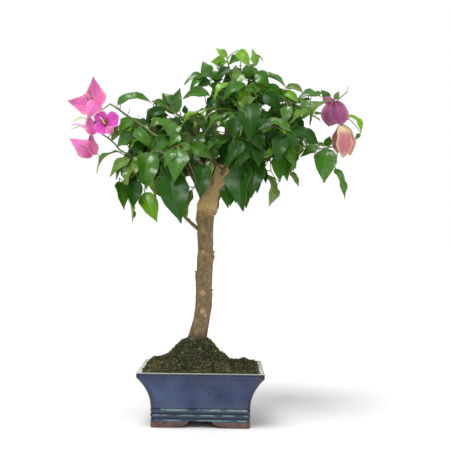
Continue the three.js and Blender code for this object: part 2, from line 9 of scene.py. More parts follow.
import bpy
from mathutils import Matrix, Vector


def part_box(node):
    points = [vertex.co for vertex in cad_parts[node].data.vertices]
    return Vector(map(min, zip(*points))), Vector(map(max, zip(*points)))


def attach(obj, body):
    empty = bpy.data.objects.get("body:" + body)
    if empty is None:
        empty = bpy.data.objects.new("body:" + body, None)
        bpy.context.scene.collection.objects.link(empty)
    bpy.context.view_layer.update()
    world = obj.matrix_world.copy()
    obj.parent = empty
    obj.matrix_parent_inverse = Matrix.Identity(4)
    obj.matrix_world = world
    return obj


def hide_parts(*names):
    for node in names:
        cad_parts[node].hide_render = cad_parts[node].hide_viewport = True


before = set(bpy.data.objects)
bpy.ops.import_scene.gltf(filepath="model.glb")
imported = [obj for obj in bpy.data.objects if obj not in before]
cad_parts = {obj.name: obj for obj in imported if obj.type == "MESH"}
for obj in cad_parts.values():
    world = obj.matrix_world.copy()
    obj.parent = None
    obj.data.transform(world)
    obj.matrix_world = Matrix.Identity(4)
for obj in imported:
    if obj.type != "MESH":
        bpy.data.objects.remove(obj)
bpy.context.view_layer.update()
print("CAD nodes:", len(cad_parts))

# %% [markdown]
# ## One measure for everything
#
# A pot is laid out from its middle, so sizes and places are in millimetres from the middle of
# the pot's foot, on the surface that it stands on. One matrix takes a finished mesh from there
# into the frame's metres, and one function does the same for a single point.

# %% Millimetres from the middle of the pot's foot
import math
import random
from collections import namedtuple

import bmesh
import bpy
import numpy as np
from mathutils import Matrix, Vector, noise

MM = 0.001
UP = Vector((0, 0, 1))
pot_low, pot_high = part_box("pot")
MIDDLE = Vector(((pot_low.x + pot_high.x) / 2, (pot_low.y + pot_high.y) / 2, 0))
TO_FRAME = Matrix.Translation(MIDDLE) @ Matrix.Scale(MM, 4)


def spot(x, y, z):
    """A point of the frame, in metres, from its place in millimetres about the pot's middle."""
    return TO_FRAME @ Vector((x, y, z))


print("Middle of the pot's foot:", [round(value, 4) for value in MIDDLE])

# %% [markdown]
# ## Camera, light and floor
#
# The photograph was taken from about 1.2 m away with the eye level half way up the plant,
# and it leans by a little less than a degree. The sensor's shift puts eye level a little
# below the picture's middle. The light is a white studio's: a bright surround, a large soft
# lamp above the front, and a weaker, wider one at the right for the gloss on the leaves.

# %% The camera
EYE = (33, -1167.5, 267)
PICTURE_WIDTH = 452
FOCAL_PIXELS = 791
EYE_LEVEL_BELOW_MIDDLE = 14
LEAN = math.radians(0.8)

camera_settings = bpy.data.cameras.new("camera")
camera_settings.sensor_width = 36
camera_settings.lens = FOCAL_PIXELS / PICTURE_WIDTH * camera_settings.sensor_width
camera_settings.shift_y = EYE_LEVEL_BELOW_MIDDLE / PICTURE_WIDTH
camera = bpy.data.objects.new("camera", camera_settings)
turned = Matrix.Rotation(math.pi / 2, 4, "X") @ Matrix.Rotation(LEAN, 4, "Z")
camera.matrix_world = Matrix.Translation(spot(*EYE)) @ turned
scene = bpy.context.scene
scene.collection.objects.link(camera)
scene.camera = camera
scene.view_settings.view_transform = "Standard"
print("Lens:", round(camera_settings.lens, 1), "mm")

# %% The lamps and the surround
# Each lamp's name, the side that it shines from, its strength and its width in degrees
LAMPS = [
    ("lamp_above", (-0.4, -0.6, 1.5), 2.6, 34),
    ("lamp_right", (1.2, -0.6, 0.8), 0.7, 60),
]


def soft_lamp(name, side, strength, width):
    """A lamp so far off that it lights the whole floor alike, as wide as a big soft box."""
    settings = bpy.data.lights.new(name, "SUN")
    settings.energy = strength
    settings.angle = math.radians(width)
    made = bpy.data.objects.new(name, settings)
    made.rotation_euler = Vector(side).to_track_quat("Z", "Y").to_euler()
    scene.collection.objects.link(made)


for lamp in LAMPS:
    soft_lamp(*lamp)
SURROUND = 0.52
BACKDROP = 1.0
world = bpy.data.worlds.new("studio")
world.use_nodes = True
nodes, links = world.node_tree.nodes, world.node_tree.links
background = nodes["Background"]
background.inputs["Color"].default_value = (1, 1, 1, 1)
brightness = nodes.new("ShaderNodeMapRange")
brightness.inputs["To Min"].default_value = SURROUND
brightness.inputs["To Max"].default_value = BACKDROP
links.new(nodes.new("ShaderNodeLightPath").outputs["Is Camera Ray"], brightness.inputs["Value"])
links.new(brightness.outputs[0], background.inputs["Strength"])
scene.world = world
print("Lamps:", len(LAMPS))

# %% [markdown]
# ## Finishes as sums
#
# A procedural finish is a small sum of patterns. One class holds a material while it is
# made, and one wraps a node's output, so that patterns are added and multiplied like
# numbers. Positions reach the patterns in millimetres from the pot's middle, so a pattern's
# size is a real size.

# %% Wires that can be added, and colours as eyes name them
class Wire:
    """A node's output, as a value in a sum."""

    def __init__(self, finish, socket):
        self.finish = finish
        self.socket = socket

    def maths(self, operation, *others):
        return self.finish.node("Math", {"operation": operation}, dict(enumerate((self, *others))))

    def __add__(self, other):
        return self.maths("ADD", other)

    def __sub__(self, other):
        return self.maths("SUBTRACT", other)

    def __rsub__(self, other):
        return self * -1 + other

    def __mul__(self, other):
        return self.maths("MULTIPLY", other)

    __radd__ = __add__
    __rmul__ = __mul__


def tone(red, green, blue):
    """A colour as eyes name it, from 0 to 255, as the linear light that a shader works in."""
    shares = [value / 255 for value in (red, green, blue)]
    linear = [s / 12.92 if s < 0.04 else ((s + 0.055) / 1.055) ** 2.4 for s in shares]
    return (*linear, 1)


def dimmed(colour, share):
    """A linear colour made darker, or brighter where the share is over 1."""
    return (*[min(1, value * share) for value in colour[:3]], 1)


print("Middle grey as linear light:", round(tone(128, 128, 128)[0], 3))

# %% A material while it is being made
class Finish:
    """Holds a material's nodes, and mixes patterns and colours with them."""

    def __init__(self, name):
        self.material = bpy.data.materials.new(name)
        self.material.use_nodes = True
        self.tree = self.material.node_tree
        self.tree.nodes.clear()

    def node(self, kind, settings=None, inputs=None, output=0):
        """Adds a node: its settings first, then its sockets' values or wires."""
        made = self.tree.nodes.new("ShaderNode" + kind)
        for name, value in (settings or {}).items():
            if name == "stops":
                self.set_stops(made.color_ramp, value)
            else:
                setattr(made, name, value)
        for name, value in (inputs or {}).items():
            if isinstance(value, Wire):
                self.tree.links.new(value.socket, made.inputs[name])
            else:
                made.inputs[name].default_value = value
        return Wire(self, made.outputs[output]) if made.outputs else None

    def set_stops(self, ramp, stops):
        for i, (position, shade) in enumerate(stops):
            stop = ramp.elements[i] if i < 2 else ramp.elements.new(position)
            stop.position = position
            stop.color = shade if len(shade) == 4 else tone(*shade)

    def place(self, stretch=(1, 1, 1)):
        """Millimetres from the pot's middle, with each way stretched by a share."""
        shares = [1 / (value * MM) for value in stretch]
        start = [-value * share for value, share in zip(MIDDLE, shares)]
        own = self.node("TexCoord", output=3)
        return self.node("Mapping", {}, {"Vector": own, "Location": start, "Scale": shares})

    def part_of(self, point, axis):
        """One number of a point: 0 is how far to the right it lies, and 2 how high."""
        return self.node("SeparateXYZ", {}, {0: point}, axis)

    def between(self, value, low, high):
        """0 where a value is low, 1 where it is high, and smooth between."""
        return self.node("MapRange", {"interpolation_type": "SMOOTHSTEP"}, {0: value, 1: low, 2: high})

    def band(self, value, start, full, fading, end):
        """1 between the two middle numbers, and 0 before the first and after the last."""
        return self.between(value, start, full) * self.between(value, end, fading)

    def mottle(self, size, detail=3, stretch=(1, 1, 1), rough=0.5):
        """A soft pattern of blotches of about that size in millimetres, from 0 to 1."""
        inputs = {"Vector": self.place(stretch), "Scale": 1 / size, "Detail": detail, "Roughness": rough}
        return self.node("TexNoise", {}, inputs)

    def patches(self, size, low, high, detail=3, stretch=(1, 1, 1)):
        """Separate blotches: 0 where the mottle is low, and 1 where it is high."""
        return self.between(self.mottle(size, detail, stretch), low, high)

    def near(self, spot_mm, radius):
        """1 at a point given in millimetres, and 0 from a ragged radius on."""
        inputs = {0: self.place(), 1: spot_mm}
        away = self.node("VectorMath", {"operation": "DISTANCE"}, inputs, 1)
        return self.between(away + (self.mottle(radius * 0.8) - 0.5) * radius, radius, radius * 0.55)

    def mix(self, share, first, second):
        return self.node("Mix", {"data_type": "RGBA"}, {0: share, 6: first, 7: second}, 2)

    def layers(self, colour, *layers):
        """A colour with others laid over it, each given by its mask, its strength and its tone."""
        for mask, strength, shade in layers:
            colour = self.mix(mask * strength, colour, tone(*shade))
        return colour

    def ramp(self, value, *stops):
        """Colours at stops from 0 to 1, each a tone or a linear colour."""
        return self.node("ValToRGB", {"stops": stops}, {0: value})

    def done(self, colour, roughness, relief=None, depth=0.2, **fixed):
        """Ends the material. Relief is a pattern, and depth its height in millimetres."""
        inputs = {"Base Color": colour, "Roughness": roughness}
        inputs.update({name.replace("_", " "): value for name, value in fixed.items()})
        if relief:
            inputs["Normal"] = self.node("Bump", {}, {"Height": relief, "Distance": depth * MM})
        surface = self.node("BsdfPrincipled", {}, inputs)
        self.node("OutputMaterial", {}, {"Surface": surface})
        return self.material


print("Ways to mix a finish:", [name for name in vars(Finish) if not name.startswith("_")])

# %% [markdown]
# ## From a mesh in millimetres to a piece of the plant
#
# Each piece is modelled as a bmesh in millimetres. Giving it its materials, shading it
# smooth but for true edges, taking it into the frame and letting it ride on the plant's one
# body is the same work every time, so one function does it.

# %% Turning a mesh into a piece
def add_piece(mesh, materials, slot, replaces=(), edge_angle=40):
    """Places a finished mesh in the frame as a piece that rides on the plant's body."""
    mesh.transform(TO_FRAME)
    for material in materials:
        mesh.materials.append(material)
    mesh.polygons.foreach_set("use_smooth", [True] * len(mesh.polygons))
    mesh.set_sharp_from_angle(angle=math.radians(edge_angle))
    made = bpy.data.objects.new(mesh.name, mesh)
    scene.collection.objects.link(made)
    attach(made, "root")
    if replaces:
        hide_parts(*replaces)
    mesh.calc_loop_triangles()
    print(mesh.name, "triangles:", len(mesh.loop_triangles))


def mesh_of(bm, name):
    """A mesh from a bmesh, with its faces turned outwards."""
    bmesh.ops.recalc_face_normals(bm, faces=bm.faces)
    mesh = bpy.data.meshes.new(name)
    bm.to_mesh(mesh)
    bm.free()
    return mesh


# %% The floor
FLOOR_HALF = 40
floor_bm = bmesh.new()
bmesh.ops.create_grid(floor_bm, x_segments=1, y_segments=1, size=FLOOR_HALF)
floor_mesh = bpy.data.meshes.new("floor")
floor_bm.to_mesh(floor_mesh)
floor_bm.free()
floor_mesh.materials.append(Finish("pale_floor").done(tone(246, 246, 245), 0.6))
floor = bpy.data.objects.new("floor", floor_mesh)
scene.collection.objects.link(floor)
print("Floor:", 2 * FLOOR_HALF, "m wide")

# %% [markdown]
# ## The pot
#
# A bonsai pot is pressed in a mould: a rectangle with round corners whose walls sweep out to
# a thick lip, over a foot with two beads. It could be lathed if it were round, or lofted
# from curves. Here one ring of edges is extruded again and again, and each new ring is moved
# up and in by the next step of the profile, outside up to the lip and inside back down.

# %% The pot's profile
POT = {
    "length": 180,
    "depth": 135,
    "height": 80,
    "corner": 5,
    "wall": 7,
    "lip": 73,
    "waist": 28.5,
    "waist_inset": 18.9,
    "foot_inset": 19.3,
    "foot_wall": 8,
    "clay_top": 7.6,
    "under": 11,
}
# Each bead's lowest and highest point, and how far it swells
BEADS = [(8, 12.9, 0.9), (14.5, 19.6, 1.5), (21.1, 27.2, 1.3)]
GROOVE_INSET = 20.2
LIP_ROUND = 1.6
UNDERSIDE = [(11.5, 24), (8.2, 21)]
INSIDE_HEIGHTS = (70, 60)
WALL_STEPS = 16


def wall_inset(height):
    """How far the outside stands in from the rim, between waist and lip."""
    share = min(1, max(0, (height - POT["waist"]) / (POT["lip"] - POT["waist"])))
    return POT["waist_inset"] * (1 - share**2)


def bead(low, high, swell, steps=6):
    """One rounded bead as heights and insets."""
    for i in range(steps + 1):
        turn = math.pi * i / steps
        height = (low + high) / 2 - (high - low) / 2 * math.cos(turn)
        yield height, GROOVE_INSET - swell * math.sqrt(math.sin(turn))


def rounded_lip():
    """The lip's outer and inner rounds, as heights and insets."""
    for side in (0, 1):
        for i in range(5):
            turn = math.pi / 2 * (i / 4 + side)
            centre = LIP_ROUND if side == 0 else POT["wall"] - LIP_ROUND
            inset = centre - LIP_ROUND * math.cos(turn)
            yield POT["height"] - LIP_ROUND + LIP_ROUND * math.sin(turn), inset


beads = [step for ends in BEADS for step in bead(*ends)]
rise = (POT["lip"] - POT["waist"]) / WALL_STEPS
heights = [POT["waist"] + rise * i for i in range(WALL_STEPS + 1)]
walls = [(height, wall_inset(height)) for height in heights]
inner = [(height, wall_inset(height) + POT["wall"]) for height in INSIDE_HEIGHTS]
pot_profile = [*UNDERSIDE, *beads, *walls, *rounded_lip(), *inner]
print("Steps in the profile:", len(pot_profile))

# %% Extruding the rings
CORNER_STEPS = 7


def rectangle_ring(bm, inset, height):
    """A ring of edges with the pot's rounded outline, drawn in by an inset."""
    corner = bmesh.ops.create_grid(bm, x_segments=1, y_segments=1, size=1)["verts"]
    size = (POT["length"] / 2 - inset, POT["depth"] / 2 - inset, 1)
    bmesh.ops.scale(bm, vec=size, verts=corner)
    bmesh.ops.translate(bm, vec=(0, 0, height), verts=corner)
    bmesh.ops.bevel(
        bm, geom=corner, offset=POT["corner"], offset_type="OFFSET", segments=CORNER_STEPS,
        profile=0.5, affect="VERTICES", material=-1,
    )
    bmesh.ops.delete(bm, geom=list(bm.faces), context="FACES_ONLY")
    return list(bm.edges)


def extrude_ring(bm, ring, inward, upward):
    """Extrudes a ring of edges, and moves the new ring in and up."""
    made = bmesh.ops.extrude_edge_only(bm, edges=ring)["geom"]
    fresh = {part for part in made if isinstance(part, bmesh.types.BMVert)}
    for vert in fresh:
        vert.co.x -= inward * math.copysign(1, vert.co.x)
        vert.co.y -= inward * math.copysign(1, vert.co.y)
        vert.co.z += upward
    edges = [part for part in made if isinstance(part, bmesh.types.BMEdge)]
    return [edge for edge in edges if all(vert in fresh for vert in edge.verts)]


def lofted(profile):
    """A closed shell from a profile of heights and insets, filled flat at both ends."""
    bm = bmesh.new()
    (height, inset), *rest = profile
    first = ring = rectangle_ring(bm, inset, height)
    for next_height, next_inset in rest:
        ring = extrude_ring(bm, ring, next_inset - inset, next_height - height)
        height, inset = next_height, next_inset
    for open_ring in (first, ring):
        bmesh.ops.edgeloop_fill(bm, edges=open_ring)
    return bm


print("Points in a ring:", 4 * (CORNER_STEPS + 1))

# %% [markdown]
# ## The arches between the feet
#
# The real pot stands on four corner feet, so that water can drain: between them the foot is
# cut away in a low arch on each side. Two long prisms with the arch's outline cut both the
# glazed body and the bare clay foot, by a Boolean modifier that is then applied.

# %% Cutting the arches
ARCH = [(44, -2), (42, 0), (37, 0.6), (32, 1.6), (27, 2.9), (22, 4.5), (19, 6.3), (17.4, 8), (16, 10)]


def arch_cutter(share, turn):
    """A prism right through the foot, with the arch's outline."""
    bm = bmesh.new()
    half = [(x * share, z) for x, z in ARCH]
    outline = [(x, z) for x, z in half] + [(-x, z) for x, z in reversed(half)]
    ends = [bm.verts.new((x, -POT["length"], z)) for x, z in outline]
    face = bm.faces.new(ends)
    pushed = bmesh.ops.extrude_face_region(bm, geom=[face])["geom"]
    verts = [part for part in pushed if isinstance(part, bmesh.types.BMVert)]
    bmesh.ops.translate(bm, vec=(0, 2 * POT["length"], 0), verts=verts)
    bmesh.ops.rotate(bm, matrix=Matrix.Rotation(turn, 3, "Z"), verts=bm.verts)
    made = bpy.data.objects.new("arch_cutter", mesh_of(bm, "arch_cutter"))
    scene.collection.objects.link(made)
    return made


def cut(mesh, cutters):
    """The mesh with every cutter taken away from it."""
    body = bpy.data.objects.new("cut_body", mesh)
    scene.collection.objects.link(body)
    for cutter in cutters:
        modifier = body.modifiers.new("cut", "BOOLEAN")
        modifier.object = cutter
        modifier.operation = "DIFFERENCE"
        modifier.solver = "EXACT"
    view = bpy.context.evaluated_depsgraph_get()
    done = bpy.data.meshes.new_from_object(body.evaluated_get(view))
    name = mesh.name
    bpy.data.objects.remove(body)
    bpy.data.meshes.remove(mesh)
    done.name = name
    return done


END_SHARE = (POT["depth"] - 2 * POT["foot_inset"]) / (POT["length"] - 2 * POT["foot_inset"])
cutters = [arch_cutter(1, 0), arch_cutter(END_SHARE, math.pi / 2)]
print("Arch on the short side:", round(2 * ARCH[1][0] * END_SHARE), "mm wide")

# %% [markdown]
# ## Glaze and clay
#
# The glaze is slate blue, deeper towards the right, and a little violet and rusty under the
# lip, with darker drips. It is darker on the corner edges. Shade is painted dark into the
# grooves, a highlight is painted pale grey-green onto the crests of the beads, and the top of
# the lip is pale grey-green, partly its own glaze and partly a painted highlight. A few
# pinholes show as dark specks. All of that hangs on place and on soft blotches, so each is a
# mask, and the masks are laid over the blue one by one. The inside has a pale glaze, and the
# feet are bare red-brown clay.

# %% Mixing the glaze
# Each pinhole's place along the front, its height and its radius
PINHOLES = [(19, 58, 3), (8.3, 54, 2), (13, 49.5, 2.8)]


def blue_glaze():
    glaze = Finish("blue_glaze")
    height = glaze.part_of(glaze.place(), 2)
    blotch = glaze.mottle(30, 4)
    body = glaze.ramp(blotch, (0.34, (22, 42, 86)), (0.5, (40, 60, 100)), (0.66, (60, 78, 112)))
    deep = glaze.between(glaze.part_of(glaze.place(), 0), -80, 60)
    violet = glaze.between(height, 56, 72) * glaze.patches(24, 0.42, 0.6)
    low = glaze.between(height, 46, 26) * glaze.patches(38, 0.42, 0.62)
    rust = glaze.patches(12, 0.6, 0.7, 5) * glaze.between(height, 58, 68)
    drips = glaze.between(height, 67, 72) * glaze.patches(8, 0.5, 0.6, 3, (1, 1, 0.4))
    beads_mask = glaze.between(height, 28.2, 26.6)
    patchy = glaze.patches(26, 0.42, 0.54)
    # Pale grey-green on the crests of the beads: a painted highlight
    bead_highlights = glaze.band(height, 23.6, 24.8, 26.8, 27.8) * patchy
    bead_highlights += glaze.band(height, 17, 17.6, 18.4, 19.2) * glaze.patches(18, 0.36, 0.56)
    bead_highlights += glaze.band(height, 9.4, 10, 11.2, 12) * patchy * 0.8
    # Dark in the grooves between the beads: painted shade
    groove_shade = glaze.band(height, 19, 20, 21.4, 22.4) + glaze.band(height, 12.2, 13.2, 14.4, 15.6)
    lip_line = glaze.band(height, 76.6, 77.6, 79, 79.6)
    # Pale grey-green on the top of the lip: partly the rim's own glaze, partly a painted highlight
    lip_glaze_and_highlight = glaze.between(height, 79, 79.8)
    corner = glaze.node("Attribute", {"attribute_name": "edge"}, {}, 2) * glaze.patches(9, 0.25, 0.5)
    speck = glaze.patches(2.6, 0.76, 0.79, 1)
    for x, z, radius in PINHOLES:
        speck += glaze.near((x, wall_inset(z) - POT["depth"] / 2, z), radius)
    colour = glaze.layers(
        body,
        (deep, 0.45, (12, 30, 74)),
        (violet, 0.6, (40, 40, 70)),
        (low, 0.55, (66, 76, 96)),
        (rust, 0.6, (92, 66, 74)),
        (drips, 0.5, (30, 34, 52)),
        (beads_mask, 1, (44, 62, 84)),
        (bead_highlights, 0.85, (122, 146, 152)),
        (groove_shade, 0.95, (18, 24, 32)),
        (lip_line, 0.85, (22, 28, 36)),
        (lip_glaze_and_highlight, 1, (112, 126, 118)),
        (corner, 1, (26, 28, 34)),
        (speck, 0.85, (26, 26, 40)),
    )
    roughness = 0.2 + 0.16 * glaze.mottle(9)
    wavy = glaze.mottle(16, 2) * 0.7 + glaze.mottle(1.6, 2) * 0.1
    gloss = {"Coat_Weight": 0.1, "Coat_Roughness": 0.12, "Specular_IOR_Level": 0.4}
    return glaze.done(colour, roughness, wavy, 0.5, **gloss)


glaze_finish = blue_glaze()
print("Nodes in the blue glaze:", len(glaze_finish.node_tree.nodes))

# %% Mixing the pale glaze and the clay
def pale_glaze():
    glaze = Finish("pale_inner_glaze")
    body = glaze.ramp(glaze.mottle(9), (0.35, (186, 190, 172)), (0.6, (214, 216, 202)))
    colour = glaze.layers(body, (glaze.patches(2, 0.66, 0.72, 1), 1, (120, 118, 110)))
    return glaze.done(colour, 0.35, glaze.mottle(4), 0.2)


def red_clay():
    clay = Finish("bare_red_clay")
    colour = clay.ramp(clay.mottle(5, 6), (0.3, (70, 54, 48)), (0.6, (100, 78, 70)))
    return clay.done(colour, 0.85, clay.mottle(0.7, 2), 0.15)


inner_finish, clay_finish = pale_glaze(), red_clay()
print("Inside and feet:", inner_finish.name, clay_finish.name)

# %% Building the pot and its foot
EDGE_WIDTH = 3
RIM_INSIDE = 1.6
PALE_ABOVE = 55


def mark_edges(mesh):
    """An attribute that is 1 on the four corner edges, where the glaze is darker."""
    mark = mesh.attributes.new("edge", "FLOAT", "POINT")
    values = []
    for vert in mesh.vertices:
        inset = wall_inset(vert.co.z) if vert.co.z > POT["waist"] else POT["foot_inset"]
        from_corner = math.hypot(
            POT["length"] / 2 - inset - POT["corner"] / 2 - abs(vert.co.x),
            POT["depth"] / 2 - inset - POT["corner"] / 2 - abs(vert.co.y),
        )
        values.append(1.0 if from_corner < EDGE_WIDTH else 0.0)
    mark.data.foreach_set("value", values)


def build_pot():
    body = cut(mesh_of(lofted(pot_profile), "pot_body"), cutters)
    mark_edges(body)
    for face in body.polygons:
        x, y, z = face.center
        inset = min(POT["length"] / 2 - abs(x), POT["depth"] / 2 - abs(y))
        face.material_index = 1 if z > PALE_ABOVE and inset > wall_inset(z) + RIM_INSIDE else 0
    add_piece(body, [glaze_finish, inner_finish], "glaze", ["pot"])

    inset = POT["foot_inset"]
    foot_profile = [
        (POT["under"], inset + POT["foot_wall"]),
        (0.6, inset + POT["foot_wall"]),
        (0, inset + POT["foot_wall"] - 0.6),
        (0, inset + 0.8),
        (0.8, inset),
        (POT["clay_top"], inset - 0.1),
        (POT["under"] + 1, inset + 1.6),
    ]
    foot = cut(mesh_of(lofted(foot_profile), "pot_foot"), cutters)
    add_piece(foot, [clay_finish], "clay")


build_pot()
for cutter in cutters:
    bpy.data.objects.remove(cutter)

# %% [markdown]
# ## Moss and soil
#
# The soil is heaped round the trunk's foot and grown over with moss: brown crumbs, olive and
# bright green cushions, and a few pale grains. A height field follows the CAD heap and adds
# lumps, and thousands of small blades and crumbs on it break its outline as real moss does.

# %% The heap's surface
MOSS = {"edge": 78.5, "swell": 7, "mound": (-8, 0), "top": 119, "seat": 15, "foot": 58, "lumps": 1.3}
SHOULDER = {"place": (-60, 26), "spread": (18, 24), "height": 7}
SOIL_HALF = (84.5, 62)
SOIL_CELLS = (150, 112)
SOIL_THICKNESS = 6


def smooth(share):
    """0 up to a share of 0, 1 from 1 on, and smooth between."""
    share = min(1, max(0, share))
    return share * share * (3 - 2 * share)


def moss_height(x, y):
    """The CAD heap's height at a place, without its finest lumps."""
    across = 1 - (x / (POT["length"] / 2)) ** 2
    along = 1 - (y / (POT["depth"] / 2)) ** 2
    lumps = MOSS["lumps"] * (math.sin(x / 6.1 + y / 9.7) + math.sin(y / 5.3 - x / 11.9))
    field = MOSS["edge"] + MOSS["swell"] * math.sqrt(max(0, across * along)) + lumps
    away = math.hypot(x - MOSS["mound"][0], y - MOSS["mound"][1])
    rise = 1 - smooth((away - MOSS["seat"]) / (MOSS["foot"] - MOSS["seat"]))
    return field + (MOSS["top"] - field) * rise + lumps * rise * (1 - rise) * 3


def soil_height(x, y):
    """The heap with its shoulder on the left and its rough surface, kept under the lip at its edge."""
    aside, behind = [(v - at) / wide for v, at, wide in zip((x, y), SHOULDER["place"], SHOULDER["spread"])]
    shoulder = SHOULDER["height"] * math.exp(-(aside**2) - behind**2)
    rough = 5 * noise.noise(Vector((x, y, 0)) / 14) + 2.8 * noise.noise(Vector((x, y, 9)) / 5.5)
    fine = 0.9 * noise.noise(Vector((x, y, 20)) / 2.2)
    edge = min(SOIL_HALF[0] - abs(x), SOIL_HALF[1] - abs(y))
    inner = smooth(edge / 9)
    trunk = smooth((math.hypot(x - MOSS["mound"][0], y) - 11) / 10)
    return moss_height(x, y) + (shoulder + rough) * inner * trunk + fine - 2.2 * (1 - inner)


print("Heap's height at the trunk:", round(soil_height(*MOSS["mound"])), "mm")

# %% Building the heap
def build_soil(finish):
    bm = bmesh.new()
    bmesh.ops.create_grid(bm, x_segments=SOIL_CELLS[0], y_segments=SOIL_CELLS[1], size=1)
    for vert in bm.verts:
        x, y = vert.co.x * SOIL_HALF[0], vert.co.y * SOIL_HALF[1]
        vert.co = (x, y, soil_height(x, y))
    bmesh.ops.solidify(bm, geom=bm.faces, thickness=SOIL_THICKNESS)
    add_piece(mesh_of(bm, "soil"), [finish], "moss", ["moss_and_soil"])


def soil_finish():
    soil = Finish("damp_mossy_soil")
    crumbs = soil.mottle(2.4, 5)
    earth = soil.ramp(crumbs, (0.32, (12, 10, 6)), (0.52, (42, 34, 22)), (0.68, (96, 80, 54)))
    moss = soil.ramp(crumbs, (0.32, (8, 11, 4)), (0.5, (30, 38, 12)), (0.68, (84, 94, 34)))
    colour = soil.mix(soil.patches(17, 0.42, 0.56), earth, moss)
    return soil.done(colour, 0.95, crumbs * 0.7 + soil.mottle(0.9) * 0.4, 1.2)


build_soil(soil_finish())

# %% [markdown]
# ## Many small things in one mesh
#
# Moss blades, crumbs and leaves are each a few faces, repeated hundreds or thousands of
# times. Objects or instances would do for a render, but only real meshes survive an export.
# So a helper copies small meshes to many places as arrays of numbers, which is quick, and
# keeps their UV maps and materials.

# %% Copying small meshes to many places
def read_array(collection, name, width, kind=np.float32):
    values = np.empty(len(collection) * width, kind)
    collection.foreach_get(name, values)
    return values.reshape(-1, width) if width > 1 else values


def copies(name, batches):
    """One mesh from batches of a small mesh and the matrices of its copies."""
    points, corners, starts, slots, uvs = [], [], [], [], []
    point_count = corner_count = 0
    for small, places in batches:
        co = np.c_[read_array(small.vertices, "co", 3), np.ones(len(small.vertices))]
        loop = read_array(small.loops, "vertex_index", 1, np.int32)
        start = read_array(small.polygons, "loop_start", 1, np.int32)
        slot = read_array(small.polygons, "material_index", 1, np.int32)
        uv = read_array(small.uv_layers[0].data, "uv", 2)
        for place in places:
            points.append((co @ np.array(place).T)[:, :3])
            corners.append(loop + point_count)
            starts.append(start + corner_count)
            slots.append(slot)
            uvs.append(uv)
            point_count += len(co)
            corner_count += len(loop)
    mesh = bpy.data.meshes.new(name)
    mesh.vertices.add(point_count)
    mesh.loops.add(corner_count)
    mesh.polygons.add(sum(map(len, starts)))
    mesh.vertices.foreach_set("co", np.concatenate(points).ravel())
    mesh.loops.foreach_set("vertex_index", np.concatenate(corners))
    mesh.polygons.foreach_set("loop_start", np.concatenate(starts))
    mesh.polygons.foreach_set("material_index", np.concatenate(slots))
    mesh.uv_layers.new(name="UVMap").data.foreach_set("uv", np.concatenate(uvs).ravel())
    mesh.update(calc_edges=True)
    return mesh


def small_mesh(name, build):
    """A small mesh with a UV map, made by a function that fills a bmesh."""
    bm = bmesh.new()
    bm.loops.layers.uv.new("UVMap")
    build(bm)
    return mesh_of(bm, name)


def stood(place, normal, turn, size):
    """A matrix that stands a small thing on a surface: its Z along the normal."""
    tilt = normal.to_track_quat("Z", "Y").to_matrix().to_4x4()
    scale = Matrix.Diagonal((*size, 1))
    return Matrix.Translation(place) @ tilt @ Matrix.Rotation(turn, 4, "Z") @ scale


print("Upright on level ground:", stood((0, 0, 0), UP, 0, (1, 1, 1)).to_3x3() @ UP)

# %% Moss blades, crumbs and pale grains
# Each tint's tone, how many places are tried, its blades' least and most height, and their thickness
MOSS_TINTS = {
    "moss_dark": ((16, 20, 7), 3600, (1.6, 3.6), 1.1),
    "moss_olive": ((70, 76, 26), 3000, (1.6, 4), 1.0),
    "moss_bright": ((108, 120, 38), 1100, (1.6, 4), 0.9),
    "moss_brown": ((78, 60, 38), 2400, (1.6, 4), 1.1),
    "moss_straw": ((168, 154, 102), 1700, (5, 12), 0.45),
}
CRUMB_SHARE = 0.35
GRAINS_TRIED = 90


def moss_blade(bm):
    bmesh.ops.create_cone(bm, cap_ends=True, segments=3, radius1=0.42, radius2=0.05, depth=1, calc_uvs=True)
    bmesh.ops.translate(bm, vec=(0, 0, 0.4), verts=bm.verts)


def crumb(bm):
    bmesh.ops.create_icosphere(bm, subdivisions=1, radius=1, calc_uvs=True)


print("Tints of moss:", list(MOSS_TINTS))

# %% Plain finishes, and places on the heap
def two_tone_finish(name, dark, light, size=3, rough=0.8):
    """A finish that changes softly from one tone to another in blotches of about that size."""
    made = Finish(name)
    return made.done(made.ramp(made.mottle(size), (0.35, dark), (0.65, light)), rough)


def plain_finish(name, shade, spread=0.75):
    """A tone that darkens by that share, and lightens as much, from place to place."""
    return two_tone_finish(name, dimmed(tone(*shade), spread), dimmed(tone(*shade), 1 / spread))


def scatter(dice, wanted):
    """Places on the heap, more of them on the mound, with the surface's normal."""
    for _ in range(wanted):
        x = dice.uniform(-1, 1) * (SOIL_HALF[0] - 3)
        y = dice.uniform(-1, 1) * (SOIL_HALF[1] - 3)
        slope_x = soil_height(x + 1, y) - soil_height(x - 1, y)
        slope_y = soil_height(x, y + 1) - soil_height(x, y - 1)
        yield Vector((x, y, soil_height(x, y))), Vector((-slope_x, -slope_y, 2)).normalized()


def in_patch(place, kind):
    """Mosses keep to their own patches, and brown litter lies more to the left."""
    patch = noise.noise(Vector((place.x, place.y, 40)) / 17)
    if kind == "moss_bright":
        return patch > 0.08
    if kind in ("moss_brown", "moss_straw"):
        return patch < 0.02 + (0.3 if place.x < -40 else 0)
    return True


print("A place on the heap and its normal:", *next(scatter(random.Random(1), 1)))

